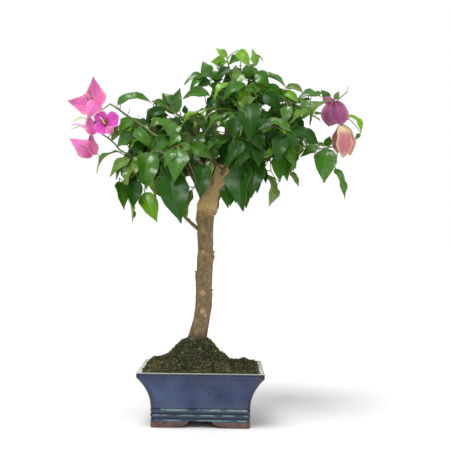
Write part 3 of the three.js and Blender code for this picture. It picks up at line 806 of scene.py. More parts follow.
# %% Growing the moss
def build_moss():
    dice = random.Random(5)
    blade, grain = small_mesh("blade", moss_blade), small_mesh("crumb", crumb)
    for name, (shade, tried, tallness, thickness) in MOSS_TINTS.items():
        blades, crumbs = [], []
        for place, normal in scatter(dice, tried):
            if not in_patch(place, name):
                continue
            spread = 2.2 if name == "moss_straw" else 0.6
            lean = Vector((dice.gauss(0, spread), dice.gauss(0, spread), 0.4))
            way = (normal * thickness + lean).normalized()
            tall, thick = dice.uniform(*tallness), dice.uniform(0.7, 1.3) * thickness
            blades.append(stood(place, way, dice.uniform(0, 6), (thick, thick, tall)))
            if name != "moss_straw" and dice.random() < CRUMB_SHARE:
                wide = dice.uniform(0.6, 1.7)
                crumbs.append(stood(place, way, dice.uniform(0, 6), (wide, wide, wide * 0.7)))
        mesh = copies(name, [(blade, blades), (grain, crumbs)])
        add_piece(mesh, [plain_finish(name, shade, 0.6)], "moss")
    grains = []
    for place, normal in scatter(dice, GRAINS_TRIED):
        wide = dice.uniform(0.5, 1.2)
        grains.append(stood(place, normal, dice.uniform(0, 6), (wide, wide * 0.8, wide * 0.6)))
    grain_finish = plain_finish("pale_grain", (186, 190, 150))
    add_piece(copies("pale_grains", [(grain, grains)]), [grain_finish], "moss")


build_moss()

# %% [markdown]
# ## The trunk
#
# The trunk leans, narrows upwards, bulges in a knot where old boughs were cut, and ends in a
# pruned stub. Its bark has fine upright fibres, cross scars, warts above the knot and the
# stubs of old thorns. A curve with a radius at each point gives a round limb that follows a
# smooth line. It is turned into a mesh, and each point is moved out or in by the relief:
# colour alone would look printed on.

# %% Lines through space
class Line:
    """A path made of many short straight stretches, in millimetres."""

    def __init__(self, points):
        self.points = [Vector(point) for point in points]
        self.length = sum((b - a).length for a, b in zip(self.points, self.points[1:]))

    def at(self, share):
        """The point at a share of the stretches."""
        steps = len(self.points) - 1
        where = min(max(share, 0), 1) * steps
        first = min(int(where), steps - 1)
        return self.points[first].lerp(self.points[first + 1], where - first)

    def heading(self, share):
        return (self.at(min(1, share + 0.02)) - self.at(max(0, share - 0.02))).normalized()

    def even(self, gap):
        """Shares about a gap in millimetres apart, from 0 to 1."""
        count = max(1, round(self.length / gap))
        return [i / count for i in range(count + 1)]


print("Length of a line from (0, 0, 0) to (3, 4, 0):", Line([(0, 0, 0), (3, 4, 0)]).length)

# %% Smooth lines
def curve_to(start, bend, end, steps=10):
    """A line that leaves its start towards a bend and arrives at its end."""
    start, bend, end = Vector(start), Vector(bend), Vector(end)
    shares = [i / steps for i in range(steps + 1)]
    return Line([start * (1 - t) ** 2 + bend * 2 * t * (1 - t) + end * t * t for t in shares])


def curve_through(points, steps=12):
    """A smooth line through every point."""
    points = [Vector(point) for point in points]
    points = [points[0] * 2 - points[1], *points, points[-1] * 2 - points[-2]]
    path = []
    for a, b, c, d in zip(points, points[1:], points[2:], points[3:]):
        for i in range(steps):
            t = i / steps
            bent = b * 2 + (c - a) * t + (a * 2 - b * 5 + c * 4 - d) * t**2 + (b * 3 - a - c * 3 + d) * t**3
            path.append(bent / 2)
    return Line([*path, points[-2]])


def blend(low, high, share):
    """A number between two others, at a share of the way."""
    return low + (high - low) * share


print("Half way from 2 to 6:", blend(2, 6, 0.5))

# %% The trunk's line and its radius
TRUNK_LINE = [
    (-11.5, 0, 104), (-5, 0, 132), (1, 1, 170), (1.3, 1, 206), (3.1, -1, 246),
    (2.5, -1, 284), (3.9, 0, 309), (11.6, 1, 334), (29, -1, 376),
]
trunk_line = curve_through(TRUNK_LINE, 24)


def trunk_share(height):
    """How far along the trunk a height lies."""
    heights = [point.z for point in trunk_line.points]
    return float(np.interp(height, heights, np.linspace(0, 1, len(heights))))


def trunk_radius(share):
    """The trunk tapers, flares at its foot and swells at its knot."""
    height = trunk_line.at(share).z
    flare = 2.4 * math.exp(-max(0, height - MOSS["top"]) / 8)
    knot = 3.6 * math.exp(-(((height - 316) / 14) ** 2))
    return blend(12.3, 10.4, share**2) + flare + knot


print("Trunk's length:", round(trunk_line.length), "mm")

# %% Round limbs from curves
def draw_limbs(name, strands, sides):
    """One mesh of round limbs, each a list of points and of the radius at each."""
    curve = bpy.data.curves.new(name, "CURVE")
    curve.dimensions = "3D"
    curve.bevel_depth = 1
    curve.bevel_resolution = (sides - 4) // 2
    curve.use_fill_caps = True
    for points, radii in strands:
        spline = curve.splines.new("POLY")
        spline.points.add(len(points) - 1)
        for knot, point, radius in zip(spline.points, points, radii):
            knot.co = (*point, 1)
            knot.radius = radius
    drawn = bpy.data.objects.new(name, curve)
    mesh = bpy.data.meshes.new_from_object(drawn)
    bpy.data.objects.remove(drawn)
    mesh.name = name
    return mesh


def carve(mesh, relief=lambda point: 0):
    """Closes a mesh's seams and moves each point along its normal by a relief."""
    bm = bmesh.new()
    bm.from_mesh(mesh)
    bmesh.ops.remove_doubles(bm, verts=bm.verts, dist=0.001)
    bm.normal_update()
    moves = [(vert, vert.normal * relief(vert.co)) for vert in bm.verts]
    for vert, move in moves:
        vert.co += move
    return mesh_of(bm, mesh.name)


print("Trunk's radius at foot and top:", [round(trunk_radius(share), 1) for share in (0, 1)], "mm")

# %% The bark's relief
# Each knob's height, its turn round the trunk in radians, its radius and how far it stands out
KNOBS = [
    (306, -1.5, 5, 1.5), (302, 3.1, 9, 1.2), (318, 3.1, 9, 1.4), (335, 3.0, 9, 1.4),
    (305, -0.4, 4, 1.4), (309, 0.4, 5, 1.6), (303, -2.6, 5, 1.6), (322, -0.9, 6, 1.6),
    (330, -2.2, 7, 1.8), (319, 2.4, 6, 2.0), (296, 2.9, 6, 2.2), (350, -0.7, 5, 1.3),
    (241, 0.1, 6, 2.4), (214, 3.14, 6, 1.6), (187, -0.1, 5, 1.2), (205, -1.9, 3.5, 0.9),
    (188, -1.0, 4, 0.8), (158, -1.7, 3, -1.2), (252, -1.7, 2.6, -0.8), (134, 2.6, 7, 1.2),
    (128, -0.4, 6, 1.0),
]
BARK_RADIUS = 11
SCAR_RING = {"height": 302, "wave": 2.2, "width": 1.3, "depth": 1.1}


def bark_relief(point):
    """How far the bark stands out at a point: lumps, fibres, cracks, one ring and the knobs."""
    centre = trunk_line.at(trunk_share(point.z))
    turn = math.atan2(point.y - centre.y, point.x - centre.x)
    out = 0.8 * noise.noise(Vector((point.x / 9, point.y / 9, point.z / 19)))
    fibre = noise.noise(Vector((point.x / 1.5, point.y / 1.5, point.z / 13)))
    crack = abs(noise.noise(Vector((point.x / 3.6, point.y / 3.6, point.z / 26 + 7))))
    out += 0.22 * fibre - 0.25 * max(0, 1 - crack * 9)
    wave = SCAR_RING["wave"] * noise.noise(Vector((turn * 1.5, 0, 3)))
    away = (point.z - SCAR_RING["height"] - wave) / SCAR_RING["width"]
    out -= SCAR_RING["depth"] * math.exp(-(away**2))
    for height, at, spread, bulge in KNOBS:
        across = (turn - at + math.pi) % (2 * math.pi) - math.pi
        away = math.hypot(point.z - height, across * BARK_RADIUS)
        out += bulge * math.exp(-((away / spread) ** 2))
    return out


# Each stub's height, its turn round the trunk in degrees and its length
SPURS = [(246, 0, 5.5), (216, 180, 6), (190, -10, 5), (274, 170, 3.5), (167, -150, 3)]
SPUR_RADII = [2.6, 2.1, 1.5, 0.9, 0.25]


def spur(height, turn, length):
    """The stub of an old thorn."""
    share = trunk_share(height)
    turn = math.radians(turn)
    way = Vector((math.cos(turn), math.sin(turn), 0.25)).normalized()
    foot = trunk_line.at(share) + way * (trunk_radius(share) - 2)
    return [foot + way * (length * i / 4) for i in range(5)], SPUR_RADII


print("Knobs on the trunk:", len(KNOBS))

# %% Mixing the bark
# Each pale scar's middle and radius
SCARS = [((0, -13, 249), 4), ((-1, -13, 189), 6), ((0, -13, 162), 5), ((5, -12, 156), 4)]


def trunk_bark():
    bark = Finish("trunk_bark")
    height = bark.part_of(bark.place(), 2)
    streaks = bark.mottle(1.5, 5, (1, 1, 4.5), 0.6)
    wood = bark.ramp(
        streaks, (0.3, (84, 68, 46)), (0.44, (114, 96, 66)), (0.56, (136, 116, 82)), (0.7, (162, 140, 102))
    )
    darker = bark.patches(13, 0.5, 0.64, 4, (1, 1, 1.8))
    paler = bark.patches(8, 0.56, 0.66, 4, (1, 1, 1.6))
    # Paler from the knot up to the stub: partly the stub's smoother bark, partly painted light on the lit
    # stub
    pale_and_lit_top = bark.between(height, 304, 314)
    crust = bark.band(height, 297, 302, 306, 312) * bark.patches(2.4, 0.4, 0.56)
    damp = bark.between(height, 140, 120) * bark.patches(8, 0.3, 0.5, 4)
    colour = bark.layers(
        wood,
        (darker, 0.45, (110, 90, 60)),
        (paler, 0.4, (176, 150, 104)),
        (pale_and_lit_top, 0.7, (208, 176, 120)),
        (crust, 0.6, (178, 136, 76)),
        *[(bark.near(*scar), 0.75, (188, 164, 118)) for scar in SCARS],
        (bark.patches(1.4, 0.56, 0.63, 2), 0.55, (72, 48, 30)),
        (damp, 0.85, (46, 44, 22)),
    )
    return bark.done(colour, 0.85, streaks * 0.6 + bark.mottle(0.8, 3, (1, 1, 2)) * 0.5, 0.5)


def bough_bark():
    bark = Finish("bough_bark")
    streaks = bark.mottle(2.4, 4, (1, 1, 3))
    colour = bark.ramp(streaks, (0.32, (66, 50, 32)), (0.5, (108, 86, 58)), (0.68, (142, 118, 82)))
    return bark.done(colour, 0.75, streaks, 0.5)


trunk_finish, bough_finish = trunk_bark(), bough_bark()
print("Barks:", trunk_finish.name, bough_finish.name)

# %% Building the trunk
TRUNK_SIDES = 72
TRUNK_GAP = 1.1
TRUNK_FROM = 108
STUB_ROUND = [0.96, 0.86, 0.6]
BARK_EDGES = 80
trunk_shares = [share for share in trunk_line.even(TRUNK_GAP) if trunk_line.at(share).z > TRUNK_FROM]
stub = [1] * (len(trunk_shares) - len(STUB_ROUND)) + STUB_ROUND
trunk_points = [trunk_line.at(share) for share in trunk_shares]
trunk_radii = [trunk_radius(share) * end for share, end in zip(trunk_shares, stub)]
trunk_mesh = carve(draw_limbs("trunk_wood", [(trunk_points, trunk_radii)], TRUNK_SIDES), bark_relief)
add_piece(trunk_mesh, [trunk_finish], "bark", ["trunk"], BARK_EDGES)
add_piece(draw_limbs("thorn_stubs", [spur(*each) for each in SPURS], 10), [trunk_finish], "bark")

# %% [markdown]
# ## The boughs
#
# Each bough leaves its trunk or elder bough at one point, bends once, and tapers to where its
# leaves begin. The younger bark is redder and smoother than the trunk's. Where a bough
# leaves the trunk the wood swells to a collar, which a radius that rises near the root gives.

# %% Where the boughs run
# What carries each bough and at which share of its length, its bend, its tip, and its radii
BOUGHS = {
    "low_left": ("trunk", 0.59, (-29, -6, 296), (-57, -14, 336), (2.8, 2)),
    "left": ("trunk", 0.82, (-15, 16, 352), (-45, 6, 408), (3.6, 2.2)),
    "upper_left": ("trunk", 0.97, (1, -4, 404), (-25, -6, 430), (3, 1.9)),
    "top": ("trunk", 0.99, (38, 0, 420), (26, 2, 458), (4.2, 2.4)),
    "upper_right": ("top", 0.3, (54, 14, 432), (77, 8, 444), (3.2, 2)),
    "right": ("trunk", 0.96, (69, 0, 382), (107, 4, 410), (4, 2.2)),
    "low_right": ("right", 0.4, (75, -30, 388), (91, -38, 382), (2.8, 2)),
    "front_left": ("trunk", 0.9, (1, -34, 374), (-17, -56, 392), (3.2, 2)),
    "front_right": ("trunk", 0.94, (43, -34, 392), (55, -62, 402), (3, 2)),
    "back_left": ("trunk", 0.88, (1, 36, 370), (-17, 58, 392), (3.4, 2)),
    "back_right": ("trunk", 0.93, (45, 34, 386), (61, 60, 402), (3.4, 2)),
    "back_top": ("top", 0.55, (37, 24, 444), (34, 42, 452), (2.8, 1.9)),
}
COLLAR = 1.5
COLLAR_LENGTH = 7
limb_lines = {"trunk": trunk_line}


def limb_strand(line, radii, collar, gap):
    """Points and radii along a line that tapers evenly, with a swelling at its root."""
    shares = line.even(gap)
    swell = [collar * math.exp(-share * line.length / COLLAR_LENGTH) for share in shares]
    return [line.at(share) for share in shares], [blend(*radii, s) + w for s, w in zip(shares, swell)]


def bough_relief(point):
    """Broad and fine lumps of young bark."""
    return 0.5 * noise.noise(point / 5) + 0.3 * noise.noise(point / 1.7)


for place, (carrier, share, bend, tip, radii) in BOUGHS.items():
    limb_lines[place] = curve_to(limb_lines[carrier].at(share), bend, tip, 16)
strands = [limb_strand(limb_lines[place], BOUGHS[place][4], COLLAR, 1.5) for place in BOUGHS]
bough_mesh = carve(draw_limbs("bough_wood", strands, 16), bough_relief)
add_piece(bough_mesh, [bough_finish], "bark", [f"{place}_bough" for place in BOUGHS], BARK_EDGES)

# %% [markdown]
# ## How the crown grows
#
# The crown is twelve masses of leaves, one on each bough, and each fills an egg-shaped reach
# round its own centre. A stem goes on from the bough, side shoots leave it for every part of
# the reach, and finer twigs leave those. Drawing each leaf by hand would take days, so the
# plant's own rule is written down: each leaf stands a golden angle round its shoot from the
# one before, leans outwards, hangs, and grows only where its space is free.

# %% The masses
# Each mass's middle, its reach each way, its shoots, how far its leaves hang, and its seed
Mass = namedtuple("Mass", "middle reach shoots hang seed")
MASSES = {
    "low_left": Mass((-81, -18, 352), (56, 56, 66), 12, 0.75, 3),
    "left": Mass((-83, 4, 424), (66, 68, 66), 16, 0.4, 5),
    "upper_left": Mass((-33, -8, 448), (66, 68, 56), 15, 0.35, 7),
    "top": Mass((43, -6, 498), (70, 66, 58), 16, 0.2, 43),
    "upper_right": Mass((99, 2, 462), (72, 68, 54), 15, 0.35, 13),
    "right": Mass((147, 4, 426), (72, 70, 66), 16, 0.5, 17),
    "low_right": Mass((103, -34, 384), (60, 56, 58), 18, 0.8, 19),
    "front_left": Mass((-35, -84, 388), (68, 60, 92), 16, 0.65, 23),
    "front_right": Mass((61, -88, 398), (68, 60, 88), 16, 0.65, 29),
    "back_left": Mass((-39, 86, 398), (70, 58, 76), 12, 0.6, 31),
    "back_right": Mass((79, 88, 404), (70, 58, 74), 13, 0.6, 37),
    "back_top": Mass((31, 72, 466), (68, 54, 58), 13, 0.4, 41),
}
CROWN_AXIS = Vector((21, 0, 400))
GOLDEN_ANGLE = math.pi * (3 - math.sqrt(5))


def within_reach(point, mass, share=1.0):
    """True inside a mass's egg, or inside that share of it."""
    centre, reach = MASSES[mass][:2]
    return sum(((p - c) / r) ** 2 for p, c, r in zip(point, centre, reach)) < share * share


def even_directions(count, turn):
    """Directions spread evenly over a sphere."""
    for i in range(count):
        z = 1 - (2 * i + 1) / count
        flat = math.sqrt(1 - z * z)
        angle = i * GOLDEN_ANGLE + turn
        yield Vector((flat * math.cos(angle), flat * math.sin(angle), z))


print("Masses:", len(MASSES))

# %% Free and taken space
CELL = 6
BARE_HALF = 15
BARE_BELOW = 369
TRUNK_SPACE, BOUGH_SPACE = 12, 3
ABOUT = [Vector(way) for way in ((1, 0, 0), (-1, 0, 0), (0, 1, 0), (0, -1, 0), (0, 0, 0))]
taken = set()


def cubes(points):
    """The small cubes of the crown's space that hold these points."""
    return {(round(x / CELL), round(y / CELL), round(z / CELL)) for x, y, z in points}


def in_bare_front(point):
    """True in front of the trunk, where the grower keeps the leaves off."""
    if point[1] > 0 or point[2] > BARE_BELOW:
        return False
    return abs(point[0] - trunk_line.at(trunk_share(point[2])).x) < BARE_HALF


for place, line in limb_lines.items():
    radius = TRUNK_SPACE if place == "trunk" else BOUGH_SPACE
    for share in line.even(3):
        taken |= cubes([line.at(share) + way * radius for way in ABOUT])
print("Cubes that the limbs take:", len(taken))

# %% The picture's own measures
MIDDLE_PIXEL = PICTURE_WIDTH / 2
EYE_PIXEL = MIDDLE_PIXEL + EYE_LEVEL_BELOW_MIDDLE
CROWN_SPAN = (range(60, 380), range(40, 240))
# The crown's outline in the picture, in its pixels
OUTLINE = [
    (122, 115), (133, 118), (145, 112), (150, 109), (165, 110), (178, 117), (192, 109), (203, 106),
    (210, 98), (213, 84), (216, 77), (214, 68), (226, 61), (236, 66), (247, 63), (255, 66), (260, 72),
    (279, 76), (281, 86), (297, 96), (308, 98), (311, 108), (308, 114), (300, 118), (304, 132),
    (316, 142), (312, 150), (301, 153), (297, 168), (290, 178), (281, 178), (276, 172), (268, 160),
    (264, 166), (264, 179), (255, 191), (250, 198), (243, 206), (228, 202), (225, 186), (212, 178),
    (203, 192), (196, 188), (190, 182), (186, 202), (180, 216), (172, 208), (163, 200), (157, 197),
    (150, 182), (146, 187), (139, 182), (137, 197), (131, 202), (124, 198), (118, 190), (120, 165),
    (119, 157), (128, 152), (119, 146), (117, 133),
]
# The middle of each patch of sky in the picture, and its half width and half height, in pixels
SKY = {
    "beside the right blossoms": (319, 128, 17, 12),
    "inside the right loop": (354, 127, 6, 9),
    "above the right twig": (330, 144, 3, 3),
    "among the right leaves": (312, 102, 4, 4),
    "under the arching left leaf": (138, 108, 19, 8),
    "beside the left blossoms": (104, 144, 10, 10),
    "under the left shoot": (115, 136, 3, 4),
    "above the left shoot": (115, 113, 7, 4),
    "under the long upper leaf": (193, 104, 13, 8),
    "above the long upper leaf": (204, 88, 7, 3),
    "on the left shoulder": (194, 86, 4, 4),
    "left of the trunk": (193, 207, 5, 18),
    "in the top": (237, 62, 5, 4),
    "below the top": (244, 81, 4, 4),
    "left of the top": (215, 68, 3, 3),
    "right shoulder": (275, 81, 6, 3),
    "under the right shoulder": (267, 107, 4, 3),
    "upper right": (294, 91, 3, 2),
    "right middle": (284, 103, 3, 2),
    "middle": (223, 128, 6, 3),
    "left of the middle": (200, 130, 3, 2),
    "under the middle": (189, 178, 3, 3),
    "low right": (269, 164, 3, 4),
    "low left": (148, 190, 5, 3),
    "left": (146, 148, 3, 2),
    "far left": (126, 149, 2, 3),
}
print("Corners of the outline:", len(OUTLINE), "patches of sky:", len(SKY))

# %% Between the picture and the plant
def seen_at(point):
    """Where the picture shows a point that is given in millimetres."""
    scale = FOCAL_PIXELS / (point[1] - EYE[1])
    across, down = (point[0] - EYE[0]) * scale, (EYE[2] - point[2]) * scale
    return MIDDLE_PIXEL + across - LEAN * down, EYE_PIXEL + down + LEAN * across


def seen_point(px, py, depth):
    """The point that the picture shows at a pixel, at a depth behind the trunk's plane."""
    scale = (depth - EYE[1]) / FOCAL_PIXELS
    across, down = px - MIDDLE_PIXEL, py - EYE_PIXEL
    return Vector((EYE[0] + (across + LEAN * down) * scale, depth, EYE[2] - (down - LEAN * across) * scale))


def in_outline(px, py):
    """True inside the crown's outline: a ray to the right crosses it an odd number of times."""
    inside = False
    for (ax, ay), (bx, by) in zip(OUTLINE, [*OUTLINE[1:], OUTLINE[0]]):
        if (ay > py) != (by > py) and px < ax + (py - ay) / (by - ay) * (bx - ax):
            inside = not inside
    return inside


crown_pixels = {(px, py) for px in CROWN_SPAN[0] for py in CROWN_SPAN[1] if in_outline(px + 0.5, py + 0.5)}


def in_sky(point):
    """True where the photograph shows sky, outside the crown or in a gap between its leaves."""
    px, py = seen_at(point)
    if (int(px), int(py)) not in crown_pixels:
        return True
    return any(((px - cx) / rx) ** 2 + ((py - cy) / ry) ** 2 < 1 for cx, cy, rx, ry in SKY.values())


print("Share of the picture that the crown covers:", round(len(crown_pixels) / PICTURE_WIDTH**2, 3))

# %% Growing the shoots
STEM_RADII, SIDE_RADII, FINE_RADII = (1.7, 0.8), (1.1, 0.6), (0.8, 0.45)
FIRST_SIDE = 0.12
SIDE_REACH = (0.62, 0.8)
TWIG_SHARES = (0.32, 0.52, 0.7, 0.86)
TWIG_LENGTHS = (16, 34)
TWIG_REACH = 0.82
# The mass that a shoot belongs to, its line, and its radii at root and tip
Shoot = namedtuple("Shoot", "mass line radii")


def random_way(dice):
    """A direction by chance, all of them equally likely."""
    return Vector([dice.gauss(0, 1) for _ in range(3)]).normalized()


def stem_of(mass):
    """The stem goes on from the bough, through the mass's middle, towards its far side."""
    bough = limb_lines[mass]
    heading = bough.heading(1)
    start = bough.at(1)
    centre = Vector(MASSES[mass].middle)
    end = centre + (centre - start) * 0.5
    bend = start + heading * (5 + (end - start).length * 0.4)
    line = curve_to(start, bend, end, 14)
    clear = next((share for share in line.even(4) if in_sky(line.at(share))), 1)
    if clear < 1:
        line = curve_through([line.at(clear * i / 4) for i in range(5)], 4)
    return Shoot(mass, line, STEM_RADII)


def side_shoots(mass, stem, dice):
    """Shoots that leave the stem in turn, each for its own part of the mass's surface."""
    centre, reach, count = MASSES[mass][:3]
    centre = Vector(centre)
    heading = stem.line.at(1) - stem.line.at(0)
    outward = (centre - CROWN_AXIS).normalized()
    aims = [aim for aim in even_directions(count, dice.uniform(0, 6.28)) if aim.dot(outward) > -0.7]
    aims.sort(key=lambda aim: aim.dot(heading))
    for i, aim in enumerate(aims):
        root = stem.line.at(blend(FIRST_SIDE, 1, (i + 0.5) / len(aims)))
        tip = centre + Vector([a * r for a, r in zip(aim, reach)]) * dice.uniform(*SIDE_REACH)
        way = tip - root
        bend = root + way * 0.5 + UP * way.length * 0.16 + random_way(dice) * 4
        line = curve_to(root, bend, tip)
        if not any(in_bare_front(line.at(s)) or in_sky(line.at(s)) for s in (0.5, 0.75, 1)):
            yield Shoot(mass, line, SIDE_RADII)


print("Stem of the top mass:", round(stem_of("top").line.length), "mm")

# %% Finer twigs, and all the shoots
def fine_twigs(shoot, dice):
    """Finer twigs that leave a side shoot and go on to the reach's edge."""
    for share in TWIG_SHARES:
        start = shoot.line.at(share)
        heading = shoot.line.heading(share)
        way = (heading * 0.5 + random_way(dice) + UP * 0.1).normalized()
        length = dice.uniform(*TWIG_LENGTHS)
        end = start + way * length
        bend = start + (way + heading) * length * 0.3
        open_air = not in_bare_front(end) and not in_sky(end)
        if within_reach(end, shoot.mass, TWIG_REACH) and open_air:
            yield Shoot(shoot.mass, curve_to(start, bend, end, 6), FINE_RADII)


crown = []
for mass in MASSES:
    dice = random.Random(MASSES[mass].seed)
    stem = stem_of(mass)
    sides = list(side_shoots(mass, stem, dice))
    fine = [twig for side in sides for twig in fine_twigs(side, dice)]
    crown.append((mass, dice, stem, sides, fine))
print("Shoots:", sum(1 + len(sides) + len(fine) for *_, sides, fine in crown))

# %% [markdown]
# ## One leaf
#
# A bougainvillea leaf is an egg-shaped blade with a drawn-out tip on a short stalk. It arches,
# folds a little along its pale rib, and its margin waves. A grid of a few cells takes that
# outline, and solidify gives it a second side, so that it can have a paler underside and
# stays a closed shape. Several bends of the same leaf are made, so that no spray looks
# copied. The bracts are made the same way further down, so the blade is a function.

# %% Shaping a leaf
LEAF_SHARES = (0, 0.13, 0.165, 0.23, 0.34, 0.46, 0.58, 0.7, 0.82, 0.93, 1)
LEAF_COLUMNS = (-1, -0.52, -0.035, 0.035, 0.52, 1)
LEAF_WIDTH = 0.5
WIDEST_AT = 0.36
SICKLE = 0.14
STALK_SHARE = 0.13
RIB_HALF = 0.05
LEAF_THICKNESS = 0.011
TOP, UNDER, RIB = 0, 1, 2
# Each shape's bend in radians, its fold along the rib, its waves and its twist
LEAF_BENDS = [
    (0.5, 0.25, 0.1, 0.3), (1.0, 0.3, 0.13, -0.4), (1.5, 0.4, 0.09, 0.35), (0.8, 0.55, 0.13, 0.6),
    (1.9, 0.3, 0.1, -0.3), (0.3, 0.45, 0.13, -0.55), (2.6, 0.3, 0.08, 0.35),
]


def leaf_half_width(share):
    """Half the blade's width at a share of its length: a stalk, a full middle, a fine tip."""
    if share <= STALK_SHARE:
        return 0.016
    t = (share - STALK_SHARE) / (1 - STALK_SHARE)
    if t < WIDEST_AT:
        full = math.sin(math.pi / 2 * (t / WIDEST_AT)) ** 0.7
    else:
        full = (1 - ((t - WIDEST_AT) / (1 - WIDEST_AT)) ** 1.7) ** 1.35
    return 0.01 + LEAF_WIDTH / 2 * full


def leaf_point(across, share, bend, fold, wave, twist):
    """A point of the leaf: its stalk's foot at 0, its tip at 1 along Y, its face up Z. The
    leaf follows a part of a circle of that bend, is folded along its rib, and twists."""
    half = leaf_half_width(share)
    lift = fold * half * abs(across) + wave * half / LEAF_WIDTH * across**2 * math.sin(share * 13 + across)
    turn = twist * share
    x = across * half * math.cos(turn) - lift * math.sin(turn) + SICKLE * twist * math.sin(math.pi * share)
    up = lift * math.cos(turn) + across * half * math.sin(turn)
    angle = bend * (share - 0.5)
    span = 2 * math.sin(bend / 2)
    y = (math.sin(angle) + math.sin(bend / 2)) / span + up * math.sin(angle)
    z = (math.cos(angle) - math.cos(bend / 2)) / span + up * math.cos(angle)
    return Vector((x, y, z))


def leaf_slot(across, share):
    """The rib and the stalk are paler than the blade."""
    return RIB if abs(across) < RIB_HALF or share < STALK_SHARE else TOP


print("Breadth of a leaf 1 long, at its middle:", round(2 * leaf_half_width(0.5), 2))

# %% A thin closed blade
def one_slot(across, share):
    """The whole blade is of one material."""
    return TOP


def make_blade(name, columns, rows, thickness, point, bends, slot_at=one_slot, under=TOP):
    """A thin closed blade: a grid of places across and along, put where a formula says. Its UV
    map is its width and its length, and its faces get their materials by their places."""
    bm = bmesh.new()
    uv = bm.loops.layers.uv.new("UVMap")
    last_column, last_row = len(columns) - 1, len(rows) - 1
    bmesh.ops.create_grid(bm, x_segments=last_column, y_segments=last_row, size=1)
    for vert in bm.verts:
        column, row = round((vert.co.x + 1) / 2 * last_column), round((vert.co.y + 1) / 2 * last_row)
        vert.co = (columns[column], rows[row], 0)
    for face in bm.faces:
        for loop in face.loops:
            loop[uv].uv = (loop.vert.co.x / 2 + 0.5, loop.vert.co.y)
        middle = face.calc_center_median()
        face.material_index = slot_at(middle.x, middle.y)
    for vert in bm.verts:
        vert.co = point(vert.co.x, vert.co.y, *bends)
    upper = set(bm.faces)
    bmesh.ops.solidify(bm, geom=list(bm.faces), thickness=thickness)
    for face in bm.faces:
        if face not in upper:
            face.material_index = under
    return mesh_of(bm, name)


def probes(columns, rows, bends):
    """Points of a leaf by which its place is tried."""
    return [leaf_point(across, share, *bends) for share in rows for across in columns]


leaf_shapes = [
    make_blade(f"leaf_{i}", LEAF_COLUMNS, LEAF_SHARES, LEAF_THICKNESS, leaf_point, bends, leaf_slot, UNDER)
    for i, bends in enumerate(LEAF_BENDS)
]
fine_columns, fine_rows = [i / 3 for i in range(-3, 4)], [i / 12 for i in range(2, 13)]
leaf_probes = [probes((-0.8, 0, 0.8), (0.25, 0.45, 0.65, 0.85, 1), bends) for bends in LEAF_BENDS]
fine_probes = [probes(fine_columns, fine_rows, bends) for bends in LEAF_BENDS]
print("Faces of one leaf:", len(leaf_shapes[0].polygons))

# %% [markdown]
# ## Placing the leaves
#
# The leaves and twigs that one sees first are placed by where the picture shows them, and
# nothing grows in front of them. The others follow a rule. At each place along a shoot a
# leaf is tried a few times, turned a little further round the shoot each time, and first in
# full size and then smaller. It grows if its mass reaches there, no other leaf has taken the
# space, and no sky shows there in the photograph. Whole sprays share one green: the leaves of
# a young shoot are all fresh, and sprays in the shade, more of them on the low masses, are
# dark, a green that is partly painted shade.

# %% Standing a leaf
TINTS = ("dark", "mid", "fresh", "olive")
leaf_places = {(tint, i): [] for tint in TINTS for i in range(len(LEAF_BENDS))}
VEIL_CELL = 3
VEIL_GAP = 3
veil = {}


def leaf_matrix(root, along, side, length, width=1.0):
    """Takes a leaf of length 1 to its place: side across it, along its rib."""
    face = side.cross(along)
    axes = Matrix((side * length * width, along * length, face * length)).transposed().to_4x4()
    return Matrix.Translation(root) @ axes


def veil_cell(point):
    """The small square of the picture in which a point shows."""
    px, py = seen_at(point)
    return int(px // VEIL_CELL), int(py // VEIL_CELL)


def keep_in_view(points):
    """Nothing grows in front of these points, so that the picture shows them."""
    for point in points:
        cell = veil_cell(point)
        veil[cell] = min(veil.get(cell, point[1]), point[1])


def in_view_of(point):
    """True in front of what the picture has to show, or right behind it."""
    return point[1] < veil.get(veil_cell(point), -math.inf) + VEIL_GAP


print("Kinds of leaf:", len(leaf_places))
